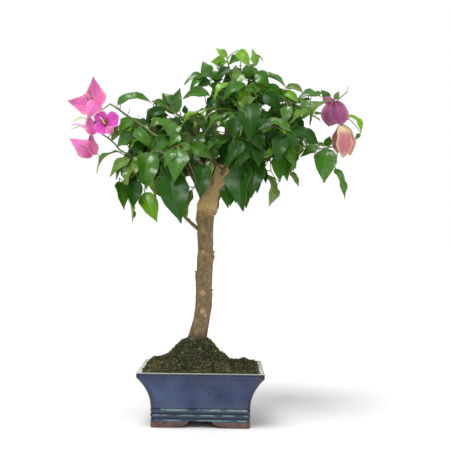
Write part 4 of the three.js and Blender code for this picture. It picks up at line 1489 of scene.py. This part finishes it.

# %% The leaves that one sees first
# Each leaf's foot, tip and breadth in the picture's pixels, its depth in mm, its shape and its tint
# A leaf's tint is partly its own green and partly painted light and shade: dark tints sit where the crown
# is shaded, paler ones where its leaves catch the light
NEAR_LEAVES = {
    "flowering shoots": [
        (116, 109, 153, 105, 13, -22, 6, "mid"),
        (129, 116, 121, 131, 13, -37, 1, "mid"),
        (135, 131, 117, 147, 12, -34, 0, "mid"),
        (168, 111, 146, 120, 9, -20, 2, "dark"),
        (153, 107, 146, 119, 6, -20, 1, "mid"),
        (160, 117, 150, 127, 9, -40, 1, "olive"),
        (146, 124, 138, 136, 9, -38, 1, "mid"),
        (150, 125, 135, 119, 6, -24, 1, "mid"),
        (134, 129, 153, 149, 12, -40, 2, "mid"),
        (156, 118, 174, 142, 10, -50, 1, "mid"),
        (182, 124, 166, 136, 9, -48, 1, "olive"),
        (150, 140, 166, 135, 7, -46, 0, "mid"),
        (143, 138, 130, 148, 6, -36, 1, "fresh"),
        (122, 153, 97, 174, 7, -28, 4, "mid"),
        (97, 132, 94, 115, 5, -18, 0, "mid"),
        (112, 133, 119, 126, 7, -16, 1, "olive"),
        (119, 128, 112, 141, 8, -12, 0, "olive"),
    ],
    "low left": [
        (143, 139, 133, 157, 9, -44, 0, "dark"),
        (131, 158, 110, 177, 11, -38, 4, "olive"),
        (125, 160, 116, 180, 8, -42, 1, "olive"),
        (133, 160, 124, 185, 13, -42, 1, "olive"),
        (131, 163, 127, 188, 9, -46, 1, "olive"),
        (119, 178, 124, 210, 12, -34, 0, "mid"),
        (137, 177, 133, 208, 15, -50, 0, "dark"),
        (128, 199, 132, 223, 5, -30, 3, "olive"),
        (144, 189, 157, 222, 17, -40, 0, "fresh"),
        (153, 150, 146, 190, 20, -74, 3, "mid"),
        (166, 161, 157, 206, 10, -48, 1, "olive"),
        (177, 146, 174, 182, 19, -98, 1, "mid"),
        (165, 146, 168, 176, 14, -62, 1, "dark"),
        (170, 166, 181, 223, 28, -98, 0, "dark"),
        (172, 148, 164, 168, 10, -104, 1, "mid"),
        (195, 185, 186, 220, 7, -30, 0, "olive"),
        (188, 141, 176, 157, 11, -66, 1, "mid"),
        (180, 133, 168, 147, 9, -64, 1, "mid"),
        (170, 120, 184, 128, 8, -46, 1, "dark"),
        (146, 143, 158, 148, 7, -50, 0, "dark"),
        (163, 148, 152, 152, 7, -54, 1, "mid"),
        (170, 138, 150, 154, 13, -52, 2, "mid"),
        (134, 156, 140, 168, 6, -40, 1, "olive"),
        (141, 166, 145, 187, 7, -42, 0, "olive"),
        (167, 160, 175, 170, 6, -60, 1, "olive"),
    ],
    "left shoulder": [
        (176, 117, 162, 93, 12, -16, 5, "olive"),
        (178, 105, 163, 93, 9, -18, 1, "mid"),
        (177, 117, 180, 88, 11, -20, 5, "mid"),
        (152, 102, 169, 108, 8, -20, 1, "mid"),
        (186, 115, 185, 105, 6, -22, 1, "dark"),
        (213, 98, 183, 99, 10, -24, 2, "mid"),
        (214, 96, 206, 108, 8, -20, 1, "dark"),
        (212, 82, 196, 88, 7, -18, 2, "dark"),
        (210, 80, 190, 91, 6, -14, 2, "mid"),
        (211, 81, 184, 85, 6, -10, 2, "mid"),
        (224, 80, 208, 76, 9, -16, 1, "dark"),
        (222, 88, 208, 84, 9, -12, 1, "mid"),
    ],
    "middle": [
        (208, 109, 179, 129, 8, -44, 1, "fresh"),
        (232, 84, 214, 101, 8, -48, 4, "fresh"),
        (250, 86, 223, 101, 10, -52, 2, "mid"),
        (238, 112, 202, 137, 11, -56, 1, "mid"),
        (232, 136, 206, 150, 11, -60, 1, "mid"),
        (188, 146, 212, 159, 13, -64, 1, "mid"),
        (206, 161, 200, 199, 17, -62, 0, "dark"),
        (211, 158, 209, 183, 9, -60, 0, "olive"),
        (217, 137, 206, 152, 8, -62, 1, "mid"),
        (233, 134, 226, 163, 13, -44, 0, "dark"),
        (229, 143, 222, 165, 11, -40, 0, "dark"),
        (237, 151, 230, 171, 10, -50, 1, "mid"),
        (215, 149, 214, 163, 8, 6, 0, "mid"),
        (223, 134, 218, 150, 9, -30, 0, "mid"),
        (243, 156, 235, 179, 10, -64, 1, "olive"),
        (233, 149, 225, 168, 9, -58, 1, "dark"),
        (224, 186, 228, 208, 7, 12, 0, "mid"),
        (221, 188, 218, 209, 5, 10, 0, "mid"),
        (192, 119, 181, 134, 9, -40, 1, "dark"),
        (205, 135, 192, 145, 9, -42, 1, "mid"),
        (214, 141, 200, 150, 9, -46, 1, "dark"),
        (202, 125, 212, 135, 8, -34, 1, "dark"),
        (216, 120, 226, 128, 8, -40, 1, "mid"),
        (194, 152, 196, 168, 9, -50, 0, "dark"),
        (196, 136, 184, 151, 10, -46, 0, "mid"),
    ],
    "top": [
        (229, 58, 216, 48, 8, -12, 1, "fresh"),
        (228, 63, 211, 62, 13, -16, 0, "fresh"),
        (240, 54, 228, 65, 8, -10, 1, "mid"),
        (212, 79, 203, 61, 14, -14, 1, "mid"),
        (216, 64, 228, 73, 7, -20, 0, "mid"),
        (241, 72, 232, 86, 12, -30, 1, "olive"),
        (229, 66, 216, 78, 9, -22, 1, "dark"),
        (226, 90, 236, 98, 9, -44, 1, "dark"),
        (238, 50, 250, 67, 11, -18, 2, "fresh"),
        (255, 69, 252, 49, 7, -8, 0, "fresh"),
        (255, 54, 264, 62, 2, -4, 0, "dark"),
        (245, 79, 254, 64, 12, -22, 1, "mid"),
        (237, 84, 236, 65, 15, -26, 5, "olive"),
        (222, 80, 212, 70, 9, -18, 1, "mid"),
        (228, 98, 217, 82, 12, -36, 1, "dark"),
        (256, 77, 287, 89, 10, -16, 2, "mid"),
        (254, 73, 269, 87, 13, -28, 1, "mid"),
        (263, 86, 242, 90, 11, -32, 1, "mid"),
        (262, 93, 280, 111, 14, -36, 1, "dark"),
        (263, 87, 285, 99, 12, -30, 1, "mid"),
    ],
    "front": [
        (247, 101, 249, 141, 19, -96, 1, "dark"),
        (237, 116, 233, 138, 14, -84, 0, "dark"),
        (241, 138, 227, 165, 14, -90, 1, "dark"),
        (230, 178, 228, 208, 10, -6, 0, "mid"),
        (239, 170, 230, 206, 17, -50, 0, "dark"),
        (245, 180, 235, 203, 14, -54, 0, "mid"),
        (246, 152, 243, 211, 18, -74, 0, "dark"),
        (256, 168, 246, 208, 13, -58, 0, "mid"),
        (266, 165, 257, 193, 9, -64, 0, "dark"),
        (262, 156, 251, 198, 17, -80, 0, "dark"),
        (258, 141, 259, 168, 11, -92, 0, "dark"),
        (265, 171, 269, 206, 6, -44, 1, "olive"),
        (262, 165, 266, 184, 7, -48, 0, "dark"),
        (254, 128, 262, 151, 15, -88, 0, "dark"),
        (250, 140, 240, 166, 15, -94, 0, "dark"),
        (270, 118, 252, 134, 13, -82, 1, "dark"),
        (262, 122, 291, 132, 9, -76, 1, "mid"),
        (224, 112, 234, 134, 11, -70, 1, "mid"),
    ],
    "right": [
        (284, 89, 303, 93, 7, -12, 4, "olive"),
        (281, 92, 299, 103, 8, -20, 1, "fresh"),
        (324, 99, 296, 102, 7, -14, 2, "mid"),
        (309, 96, 303, 114, 10, -18, 0, "mid"),
        (312, 106, 301, 120, 9, -26, 1, "mid"),
        (330, 102, 321, 90, 8, -8, 0, "mid"),
        (311, 97, 323, 93, 5, -8, 1, "olive"),
        (334, 101, 339, 91, 6, -6, 0, "olive"),
        (333, 102, 310, 126, 9, -26, 4, "olive"),
        (312, 113, 327, 116, 5, -10, 0, "fresh"),
        (311, 115, 321, 122, 3, -12, 0, "dark"),
        (288, 104, 286, 123, 11, -40, 0, "mid"),
        (309, 108, 290, 124, 9, -44, 1, "olive"),
        (291, 119, 303, 138, 13, -36, 1, "dark"),
        (288, 131, 319, 145, 12, -50, 1, "dark"),
        (305, 138, 319, 143, 9, -30, 0, "dark"),
        (284, 132, 277, 161, 15, -70, 0, "dark"),
        (284, 145, 296, 169, 11, -60, 1, "mid"),
        (279, 152, 280, 182, 13, -56, 0, "mid"),
        (290, 150, 287, 181, 11, -50, 0, "mid"),
        (290, 170, 299, 187, 7, -36, 0, "olive"),
        (300, 135, 285, 151, 13, -58, 0, "dark"),
        (319, 144, 300, 157, 10, -34, 1, "mid"),
        (325, 148, 330, 136, 10, -14, 0, "mid"),
        (329, 145, 324, 183, 20, -20, 0, "mid"),
        (334, 165, 345, 199, 10, -16, 0, "mid"),
        (319, 142, 325, 147, 4, -16, 0, "olive"),
        (343, 117, 361, 133, 5, -12, 4, "fresh"),
        (361, 133, 355, 140, 4, -2, 0, "mid"),
    ],
    "behind the boughs": [
        (215, 142, 214, 161, 12, 14, 0, "dark"),
        (222, 140, 222, 159, 12, 18, 0, "mid"),
        (208, 150, 209, 171, 12, 16, 0, "dark"),
        (216, 154, 215, 176, 12, 12, 0, "dark"),
        (229, 149, 228, 171, 12, 14, 0, "dark"),
        (236, 149, 238, 172, 12, 10, 0, "mid"),
        (200, 149, 201, 169, 11, 20, 0, "mid"),
        (193, 154, 192, 174, 11, 18, 0, "dark"),
        (212, 164, 210, 186, 11, 16, 0, "dark"),
        (204, 137, 203, 157, 11, 22, 0, "dark"),
        (211, 132, 212, 151, 11, 24, 0, "mid"),
        (230, 137, 231, 156, 11, 22, 0, "dark"),
        (187, 160, 186, 176, 10, 20, 0, "dark"),
        (233, 164, 235, 187, 12, 12, 0, "dark"),
        (240, 168, 240, 193, 12, 12, 0, "dark"),
        (205, 119, 203, 133, 10, 16, 1, "mid"),
        (214, 116, 208, 127, 9, 16, 1, "dark"),
        (228, 116, 232, 128, 9, 14, 1, "mid"),
        (222, 98, 226, 112, 10, 8, 1, "dark"),
        (214, 102, 219, 114, 9, 8, 1, "mid"),
    ],
}
print("Leaves in each part:", {part: len(rows) for part, rows in NEAR_LEAVES.items()})

# %% Standing leaves where the picture shows them
LEAST_WIDTH, MOST_WIDTH = 0.8, 1.3
LEAN_OUT = 0.5
FOREMOST = -138
TURN_UP = 0.3


def seen_blade(foot, tip, breadth, usual, least=LEAST_WIDTH):
    """The matrix of a blade from its two ends and how broad the picture shows it. A blade that
    looks slimmer than usual is turned about its rib, with its face up."""
    along = tip - foot
    length = along.length
    along.normalize()
    side = along.cross(Vector(EYE) - foot).normalized()
    seen_length = math.dist(seen_at(foot), seen_at(tip))
    slimness = breadth / (usual * seen_length)
    width = min(MOST_WIDTH, max(least, slimness))
    turn = math.copysign(math.acos(min(1, slimness / width)) + TURN_UP * abs(side.z), side.z)
    return leaf_matrix(foot, along, Matrix.Rotation(turn, 3, along) @ side, length, width)


def near_leaf(foot_x, foot_y, tip_x, tip_y, breadth, depth, shape, tint):
    """A leaf placed by where the picture shows its foot and its tip, and how broad it looks. A
    hanging leaf leans out, so that its face catches the light from above."""
    foot, tip = seen_point(foot_x, foot_y, depth), seen_point(tip_x, tip_y, depth)
    leaning_tip = seen_point(tip_x, tip_y, max(FOREMOST, depth - LEAN_OUT * max(0, foot.z - tip.z)))
    matrix = seen_blade(foot, leaning_tip, breadth, LEAF_WIDTH)
    keep_in_view([matrix @ probe for probe in fine_probes[shape]])
    taken.update(cubes([matrix @ probe for probe in leaf_probes[shape]]))
    leaf_places[tint, shape].append(matrix)
    return foot


near_feet = [near_leaf(*row) for rows in NEAR_LEAVES.values() for row in rows]
print("Leaves placed by eye:", len(near_feet))

# %% Twigs that show between the leaves
# Each twig's first and last depth and first and last radius in mm, and its path in the picture
NEAR_TWIGS = {
    "woody": [
        (-12, -12, 2.2, 1.6, [(188, 130), (193, 134), (201, 137)]),
        (-12, -12, 1.6, 2.2, [(200, 126), (213, 127), (228, 121), (241, 112)]),
        (-16, -16, 1.7, 1.1, [(197, 190), (195, 176), (191, 152), (188, 138)]),
        (-17, -17, 1.1, 0.8, [(197, 176), (187, 163)]),
        (-20, -20, 1.5, 1.1, [(221, 169), (213, 157), (207, 149), (202, 142)]),
        (-14, -14, 0.9, 0.8, [(181, 187), (190, 187), (196, 188)]),
        (-20, -20, 0.9, 0.7, [(218, 146), (226, 151)]),
        (-58, -58, 0.9, 0.7, [(190, 136), (198, 146), (205, 152), (211, 157)]),
        (-68, -68, 0.9, 0.7, [(262, 136), (250, 146), (240, 154), (232, 151)]),
        (-10, -10, 1.6, 1.4, [(146, 160), (137, 158), (130, 155)]),
    ],
    "green": [
        (-25, -25, 1.7, 1.1, [(198, 125), (185, 119), (172, 111), (162, 105), (153, 101)]),
        (-15, -15, 1.5, 1.0, [(232, 86), (230, 72), (227, 59)]),
        (-30, -30, 0.9, 0.6, [(216, 110), (210, 107), (206, 103), (205, 97)]),
        (-44, -44, 0.6, 0.4, [(271, 171), (275, 178), (279, 181), (278, 184), (275, 185)]),
        (-60, -14, 1.9, 1.2, [(161, 138), (152, 133), (139, 123), (126, 115), (117, 108), (110, 104)]),
        (-12, -12, 0.9, 0.8, [(110, 104), (106, 107), (101, 110), (97, 106)]),
        (-10, -10, 1.4, 1.1, [(130, 155), (120, 150), (115, 144), (108, 138), (102, 134), (98, 130)]),
        (-29, -29, 0.7, 0.5, [(118, 151), (109, 154), (101, 156), (92, 151), (80, 145)]),
        (-14, -14, 0.7, 0.2, [(120, 109), (121, 101), (121.5, 94)]),
        (-34, -34, 0.7, 0.2, [(127, 116), (129, 112), (130, 107)]),
        (-42, -42, 0.7, 0.2, [(137, 122), (138, 119), (139, 114)]),
        (-10, -10, 1.3, 1.0, [(280, 106), (296, 103), (314, 102), (327, 103), (334, 104)]),
        (-12, -12, 1.0, 0.8, [(334, 104), (340, 98), (347, 92)]),
        (-12, -12, 0.6, 0.2, [(347, 92), (348, 85)]),
        (-14, -14, 0.9, 0.8, [(334, 104), (338, 111), (341, 118), (341, 127), (341, 136)]),
        (-8, -8, 0.9, 0.7, [(335, 104), (340, 112), (345, 116)]),
        (-14, -14, 1.3, 1.0, [(296, 150), (308, 150), (320, 149), (337, 146)]),
        (-10, -10, 0.9, 0.7, [(337, 146), (337, 156), (335, 166)]),
    ],
}
print("Twigs of each kind:", {kind: len(rows) for kind, rows in NEAR_TWIGS.items()})

# %% Drawing the twigs that show
def seen_curve(path, first_depth, last_depth, steps=8):
    """A curve through points of the picture, whose depth changes evenly from point to point."""
    last = len(path) - 1
    depths = [blend(first_depth, last_depth, i / last) for i in range(len(path))]
    return curve_through([seen_point(*place, depth) for place, depth in zip(path, depths)], steps)


near_lines = [
    (kind, seen_curve(path, first, last), (thick, thin))
    for kind, rows in NEAR_TWIGS.items()
    for first, last, thick, thin, path in rows
]
for _, line, _ in near_lines:
    keep_in_view([line.at(share) + way for share in line.even(2) for way in (UP, -UP)])
print("Twigs placed by eye:", len(near_lines))

# %% Trying a leaf
TRIES = 8
LEAF_SIZES = (1, 0.74)
SHORTEST, LONGEST = 34, 54
# What each kind of shoot is made as, its leaves' gap in mm, its bare share and its collar
GROWTH = {"sides": ("woody", 10, 0.2, 0.2), "fine": ("green", 9, 0.3, 0.1)}
STEM_COLLAR = 0.3
STEM_LEAVES = (10, 0.3)
# What share of a mass's sprays is dark, mid, fresh and olive
# High masses have more fresh sprays and low ones more dark sprays: partly the younger growth at the top,
# partly painted light and shade
TINT_SHARES = {
    "top": (0.1, 0.4, 0.4, 0.1),
    "back_top": (0.2, 0.4, 0.3, 0.1),
    "upper_left": (0.25, 0.45, 0.2, 0.1),
    "upper_right": (0.25, 0.45, 0.2, 0.1),
    "low_left": (0.4, 0.38, 0.08, 0.14),
    "low_right": (0.35, 0.42, 0.13, 0.1),
}
USUAL_SHARES = (0.35, 0.42, 0.12, 0.11)


def leaf_choices(shoot, share, turn, dice):
    """Every way in which a leaf may stand at a place on its shoot."""
    start = shoot.line.at(share)
    heading = shoot.line.heading(share)
    first = heading.cross(Vector((1, 0, 0)) if abs(heading.z) > 0.9 else UP).normalized()
    second = heading.cross(first)
    outward = start - CROWN_AXIS
    outward = Vector((outward.x, outward.y, 0)).normalized()
    hang = min(1, max(0, MASSES[shoot.mass].hang + dice.uniform(-0.4, 0.25)))
    longest = dice.uniform(SHORTEST, LONGEST) * (0.8 if share > 0.9 else 1)
    roll = dice.gauss(0, 0.8)
    width = dice.uniform(0.8, 1.12)
    shape = dice.randrange(len(LEAF_BENDS))
    for size in LEAF_SIZES:
        for i in range(TRIES):
            angle = turn + 2 * math.pi * i / TRIES
            along = first * math.cos(angle) + second * math.sin(angle) + heading * 0.5 + outward * 0.3
            along = (along.normalized() * (1 - hang * 0.75) - UP * hang).normalized()
            side = along.cross(outward + UP * 0.8).normalized()
            side = Matrix.Rotation(roll, 3, along) @ side
            yield shape, leaf_matrix(start, along, side, longest * size, width)


def has_room(points, shoot):
    """True where a leaf is in its mass's reach, off the sky, behind what shows, and in free space."""
    if not all(within_reach(p, shoot.mass) for p in points):
        return False
    if any(in_bare_front(p) or in_sky(p) or in_view_of(p) for p in points):
        return False
    return taken.isdisjoint(cubes(points))


print("Ways in which a leaf is tried:", len(LEAF_SIZES) * TRIES)

# %% Growing the others
def grow_leaves(shoot, gap, bare, dice, tint):
    """Grows leaves along a shoot from where its bare share ends, and says how many have room."""
    turn = dice.uniform(0, 6.28)
    count = max(1, round(shoot.line.length * (1 - bare) / gap))
    placed = 0
    for i in range(count + 1):
        share = blend(bare, 1, i / count)
        for shape, matrix in leaf_choices(shoot, share, turn + i * GOLDEN_ANGLE, dice):
            points = [matrix @ probe for probe in leaf_probes[shape]]
            if has_room(points, shoot):
                taken.update(cubes(points))
                leaf_places[tint, shape].append(matrix)
                placed += 1
                break
    return placed


def spray_tint(mass, dice):
    """The green that all leaves of one shoot share."""
    return dice.choices(TINTS, TINT_SHARES.get(mass, USUAL_SHARES))[0]


def keep_shoot(shoot, kind, collar, gap):
    """A shoot is made only where it carries leaves, so this comes after they have grown."""
    leafy_twigs[kind].append(limb_strand(shoot.line, shoot.radii, collar, gap))
    leafy_lines.append(shoot.line)


leafy_twigs = {"woody": [], "green": []}
leafy_lines = []
for mass, dice, stem, sides, fine in crown:
    keep_shoot(stem, "woody", STEM_COLLAR, 4)
    for shoots, (kind, leaf_gap, bare, collar) in zip((sides, fine), GROWTH.values()):
        for shoot in shoots:
            if grow_leaves(shoot, leaf_gap, bare, dice, spray_tint(mass, dice)):
                keep_shoot(shoot, kind, collar, 5)
    # The leaves on each mass's inner stem are all dark: painted shade for the crown's inside
    grow_leaves(stem, *STEM_LEAVES, dice, "dark")
print("Leaves:", sum(map(len, leaf_places.values())))

# %% Stalks for the leaves that one sees first
STALK_RADII = (0.7, 0.5)
carriers = [line.at(share) for line in (*leafy_lines, *limb_lines.values()) for share in line.even(6)]


def nearest_carrier(foot):
    """The nearest place on a shoot or bough, rather behind the foot than before it."""
    return min(carriers, key=lambda point: (point - foot).length + 2 * max(0, foot.y - point.y))


for kind, line, radii in near_lines:
    root = nearest_carrier(line.at(0))
    join = curve_to(root, root.lerp(line.at(0), 0.6), line.at(0), 4)
    leafy_twigs[kind].append(limb_strand(join, (radii[0], radii[0]), 0.2, 4))
    leafy_twigs[kind].append(limb_strand(line, radii, 0.0, 2))
    carriers += [line.at(share) for share in line.even(4)]
for foot in near_feet:
    root = nearest_carrier(foot)
    bend = root.lerp(foot, 0.5) + UP * (foot - root).length * 0.15
    leafy_twigs["green"].append(limb_strand(curve_to(root, bend, foot, 6), STALK_RADII, 0.1, 5))
print("Twigs and stalks:", sum(map(len, leafy_twigs.values())))

# %% Mixing the greens
# Each tint's top, underside and rib, and how glossy its top is
# The dark tint is partly the leaves' own darker green and partly painted shade
LEAF_COLOURS = {
    "dark": ((32, 77, 8), (80, 112, 40), (46, 92, 24), 0.25),
    "mid": ((60, 110, 16), (108, 144, 60), (84, 132, 44), 1.0),
    "fresh": ((110, 162, 34), (142, 182, 74), (132, 180, 62), 0.7),
    "olive": ((94, 130, 42), (132, 156, 82), (114, 148, 66), 1.0),
}


def leaf_finish(name, shade, roughness, gloss):
    """A leaf's green, a little darker in blotches and glossier on some sprays than on others."""
    leaf = Finish(name)
    veins = leaf.mottle(3.5)
    green = tone(*shade)
    coat = leaf.patches(24, 0.4, 0.54, 2) * gloss
    sheen = {"Coat_Weight": coat, "Coat_Roughness": 0.24, "Specular_IOR_Level": 0.12}
    return leaf.done(leaf.mix(veins, dimmed(green, 0.8), green), roughness, veins, 0.25, **sheen)


for tint, (top, under, rib, gloss) in LEAF_COLOURS.items():
    finishes = [
        leaf_finish(f"leaf_{tint}_top", top, 0.45, gloss),
        leaf_finish(f"leaf_{tint}_under", under, 0.6, 0.05),
        leaf_finish(f"leaf_{tint}_rib", rib, 0.5, 0.3),
    ]
    batches = [(leaf_shapes[i], leaf_places[tint, i]) for i in range(len(LEAF_BENDS))]
    add_piece(copies(f"leaves_{tint}", batches), finishes, "leaves", edge_angle=70)

# %% Twigs
# Each kind's dark and light tones, its slot, and the nodes that it stands for
TWIG_KINDS = {
    "woody": ((72, 62, 34), (112, 98, 58), "bark", [f"{mass}_foliage" for mass in MASSES]),
    "green": ((66, 96, 32), (106, 130, 54), "leaves", []),
}
TWIG_MOTTLE, TWIG_ROUGHNESS = 2.5, 0.65
for kind, (dark, light, slot, replaced) in TWIG_KINDS.items():
    twig_finish = two_tone_finish(f"{kind}_twig", dark, light, TWIG_MOTTLE, TWIG_ROUGHNESS)
    add_piece(carve(draw_limbs(f"twigs_{kind}", leafy_twigs[kind], 6)), [twig_finish], slot, replaced)

# %% [markdown]
# ## The blossoms
#
# What looks like a flower is three papery bracts round three small tubes, which are the
# true flowers. The bracts have a net of veins and a wavy margin. They are a finer grid than
# the leaves, because there are few of them and they are the first thing that one looks at.

# %% Where the bracts are
# Each bract's foot, tip and breadth in the picture's pixels, the depths of its foot and tip in mm,
# the side that it shows, its outline and its tint
BRACTS = {
    "upper left": [
        (97, 107, 93, 76, 21, -12, -10, "inside", "pointed", "rose"),
        (97, 105, 67, 101, 23, -16, -22, "inside", "pointed", "rose"),
        (98, 101, 87, 119, 16, -22, -32, "outside", "pointed", "rose"),
    ],
    "middle left": [
        (105, 123, 119, 116, 15, -22, -30, "inside", "round", "magenta"),
        (105, 123, 97, 112, 14, -20, -26, "inside", "round", "magenta"),
        (105, 123, 97, 133, 14, -24, -30, "inside", "round", "magenta"),
        (106, 127, 113, 133, 8, -30, -32, "outside", "round", "rose"),
    ],
    "behind the middle": [
        (93, 135, 88, 113, 13, -20, -18, "inside", "pointed", "rose"),
        (92, 131, 71, 124, 6, -12, -16, "outside", "pointed", "pale"),
    ],
    "lower left": [
        (93, 155, 69, 138, 20, -16, -24, "outside", "pointed", "rose"),
        (94, 155, 91, 131, 12, -20, -18, "inside", "pointed", "rose"),
    ],
    "upper right": [
        (334, 101, 329, 126, 19, -14, -22, "outside", "round", "plum"),
        (335, 101, 342, 125, 18, -18, -26, "outside", "round", "plum"),
        (335, 105, 348, 120, 12, -10, -12, "outside", "round", "plum"),
        (337, 106, 323, 98, 9, -12, -14, "outside", "round", "plum"),
    ],
    "lower right": [
        (342, 125, 337, 153, 14, -14, -16, "outside", "round", "faded"),
        (343, 124, 344, 157, 15, -20, -28, "outside", "round", "faded"),
        (344, 125, 351, 155, 14, -16, -16, "outside", "round", "faded"),
    ],
}
# Each tube's depth and radius in mm, and its path in the picture
TUBES = {
    "brown": [
        (-18, 0.8, [(94, 101), (91, 96), (90, 91)]),
        (-22, 0.8, [(92, 104), (88, 101), (87, 97)]),
        (-28, 2.0, [(104, 126), (105, 122), (106, 119)]),
        (-28, 1.4, [(107, 125), (107, 122), (106, 120)]),
    ],
    "pale": [
        (-16, 0.9, [(88, 120), (84, 118), (79, 118), (74, 121)]),
        (-18, 0.9, [(84, 125), (77, 127), (71, 129)]),
        (-30, 0.8, [(105, 124), (102, 119), (99, 117)]),
    ],
}
print("Bracts in each part:", {part: len(rows) for part, rows in BRACTS.items()})

# %% Shaping the bracts
# Where each outline is widest, how fast it falls from there, and how slim its tip is
BRACT_SHAPES = {"pointed": (0.36, 1.3, 1.3), "round": (0.56, 2.2, 0.9)}
BRACT_WIDTH = 0.9
BRACT_CUP = 0.16
BRACT_FOLD = 0.11
BRACT_THICKNESS = 0.012
BRACT_COLUMNS, BRACT_ROWS = [i / 5 - 1 for i in range(11)], [i / 14 for i in range(15)]
LEAST_BRACT = 0.6


def bract_half_width(share, widest, fall, tip):
    """Half the bract's width at a share of its length."""
    if share < widest:
        return BRACT_WIDTH / 2 * math.sin(math.pi / 2 * (0.08 + 0.92 * share / widest)) ** 0.55
    return 0.004 + BRACT_WIDTH / 2 * (1 - ((share - widest) / (1 - widest)) ** fall) ** tip


def bract_point(across, share, *outline):
    """A point of the bract, which is hollow like a spoon, folded, and wavy along its margin."""
    x = across * bract_half_width(share, *outline)
    z = -BRACT_CUP * math.sin(math.pi * share) + BRACT_FOLD * abs(x) * 2
    z += 0.03 * across**2 * math.sin(share * 15 + across * 2) + 0.06 * share**3
    return x, share, z


def bract_matrix(foot_x, foot_y, tip_x, tip_y, breadth, foot_depth, tip_depth, side):
    """A bract from its two ends; its hollow face is its inside."""
    foot, tip = seen_point(foot_x, foot_y, foot_depth), seen_point(tip_x, tip_y, tip_depth)
    matrix = seen_blade(foot, tip, breadth, BRACT_WIDTH, LEAST_BRACT)
    return matrix @ Matrix.Rotation(math.pi, 4, "Y") if side == "outside" else matrix


bract_meshes = {
    name: make_blade(f"bract_{name}", BRACT_COLUMNS, BRACT_ROWS, BRACT_THICKNESS, bract_point, outline)
    for name, outline in BRACT_SHAPES.items()
}
print("Outlines of bracts:", list(bract_meshes))

# %% Mixing the pinks
# Each tint's ground, margin, veins and foot
# The grounds are lighter than the bracts' own pink: partly painted light, for the light that shines through
# the thin bracts
BRACT_COLOURS = {
    "rose": ((232, 120, 190), (236, 162, 172), (200, 70, 146), (222, 98, 164)),
    "magenta": ((232, 92, 204), (240, 130, 220), (196, 44, 150), (214, 56, 166)),
    "pale": ((240, 160, 222), (248, 196, 226), (224, 110, 190), (238, 150, 210)),
    "plum": ((146, 70, 116), (180, 122, 150), (186, 128, 160), (98, 34, 66)),
    "faded": ((184, 108, 118), (220, 188, 152), (220, 178, 152), (222, 202, 158)),
}


def bract_finish(name, ground, edge, vein, base):
    """Veins branch from the rib, the margin fades, and the foot has a colour of its own."""
    bract = Finish(name)
    place = bract.node("TexCoord", output=2)
    across, along = bract.part_of(place, 0), bract.part_of(place, 1)
    off_rib = (across - 0.5).maths("ABSOLUTE")
    lines = (along * 7 - off_rib * 6 + bract.mottle(7, 2) * 1.2).maths("FRACT")
    side_veins = bract.between((lines - 0.5).maths("ABSOLUTE"), 0.42, 0.5)
    veins = side_veins.maths("MAXIMUM", bract.between(off_rib, 0.03, 0.0))
    rim = bract.between(off_rib, 0.3, 0.5).maths("MAXIMUM", bract.between(along, 0.8, 1))
    foot = bract.between(along, 0.42, 0.1)
    colour = bract.layers(tone(*ground), (foot, 1, base), (rim, 0.8, edge), (veins, 0.6, vein))
    return bract.done(colour, 0.6, veins, 0.3, Specular_IOR_Level=0.25)


for tint, colours in BRACT_COLOURS.items():
    rows = [row for each in BRACTS.values() for row in each if row[-1] == tint]
    batches = [
        (mesh, [bract_matrix(*row[:-2]) for row in rows if row[-2] == shape])
        for shape, mesh in bract_meshes.items()
    ]
    add_piece(copies(f"bracts_{tint}", batches), [bract_finish(f"bract_{tint}", *colours)], "bracts")

# %% Tubes and buds
TUBE_COLOURS = {"brown": ((84, 52, 40), (128, 84, 60)), "pale": ((176, 196, 84), (214, 222, 140))}
BUD_SIZE = (1.1, 1.1, 1.7)
# Each bud's place in the picture, and its depth in mm
BUDS = [
    (226, 57, -12), (240, 66, -18), (220, 71, -20), (264, 82, -30), (205, 97, -30), (247, 140, -98),
    (255, 147, -94), (241, 58, -12), (231, 70, -20),
]
for kind, tubes in TUBES.items():
    drawn = []
    for depth, radius, path in tubes:
        drawn.append(limb_strand(seen_curve(path, depth, depth, 6), (radius, radius * 0.8), 0, 2))
    tube_finish = two_tone_finish(f"{kind}_tube", *TUBE_COLOURS[kind], TWIG_MOTTLE, TWIG_ROUGHNESS)
    add_piece(carve(draw_limbs(f"tubes_{kind}", drawn, 8)), [tube_finish], "bracts")
bud_places = [Matrix.Translation(seen_point(*bud)) @ Matrix.Diagonal((*BUD_SIZE, 1)) for bud in BUDS]
bud_mesh = copies("buds", [(small_mesh("bud", crumb), bud_places)])
add_piece(bud_mesh, [plain_finish("tan_bud", (150, 112, 70))], "leaves")

# %% [markdown]
# ## The sizes, kept
#
# The dressed plant stays in the box of its CAD model, but for about a millimetre at the back.
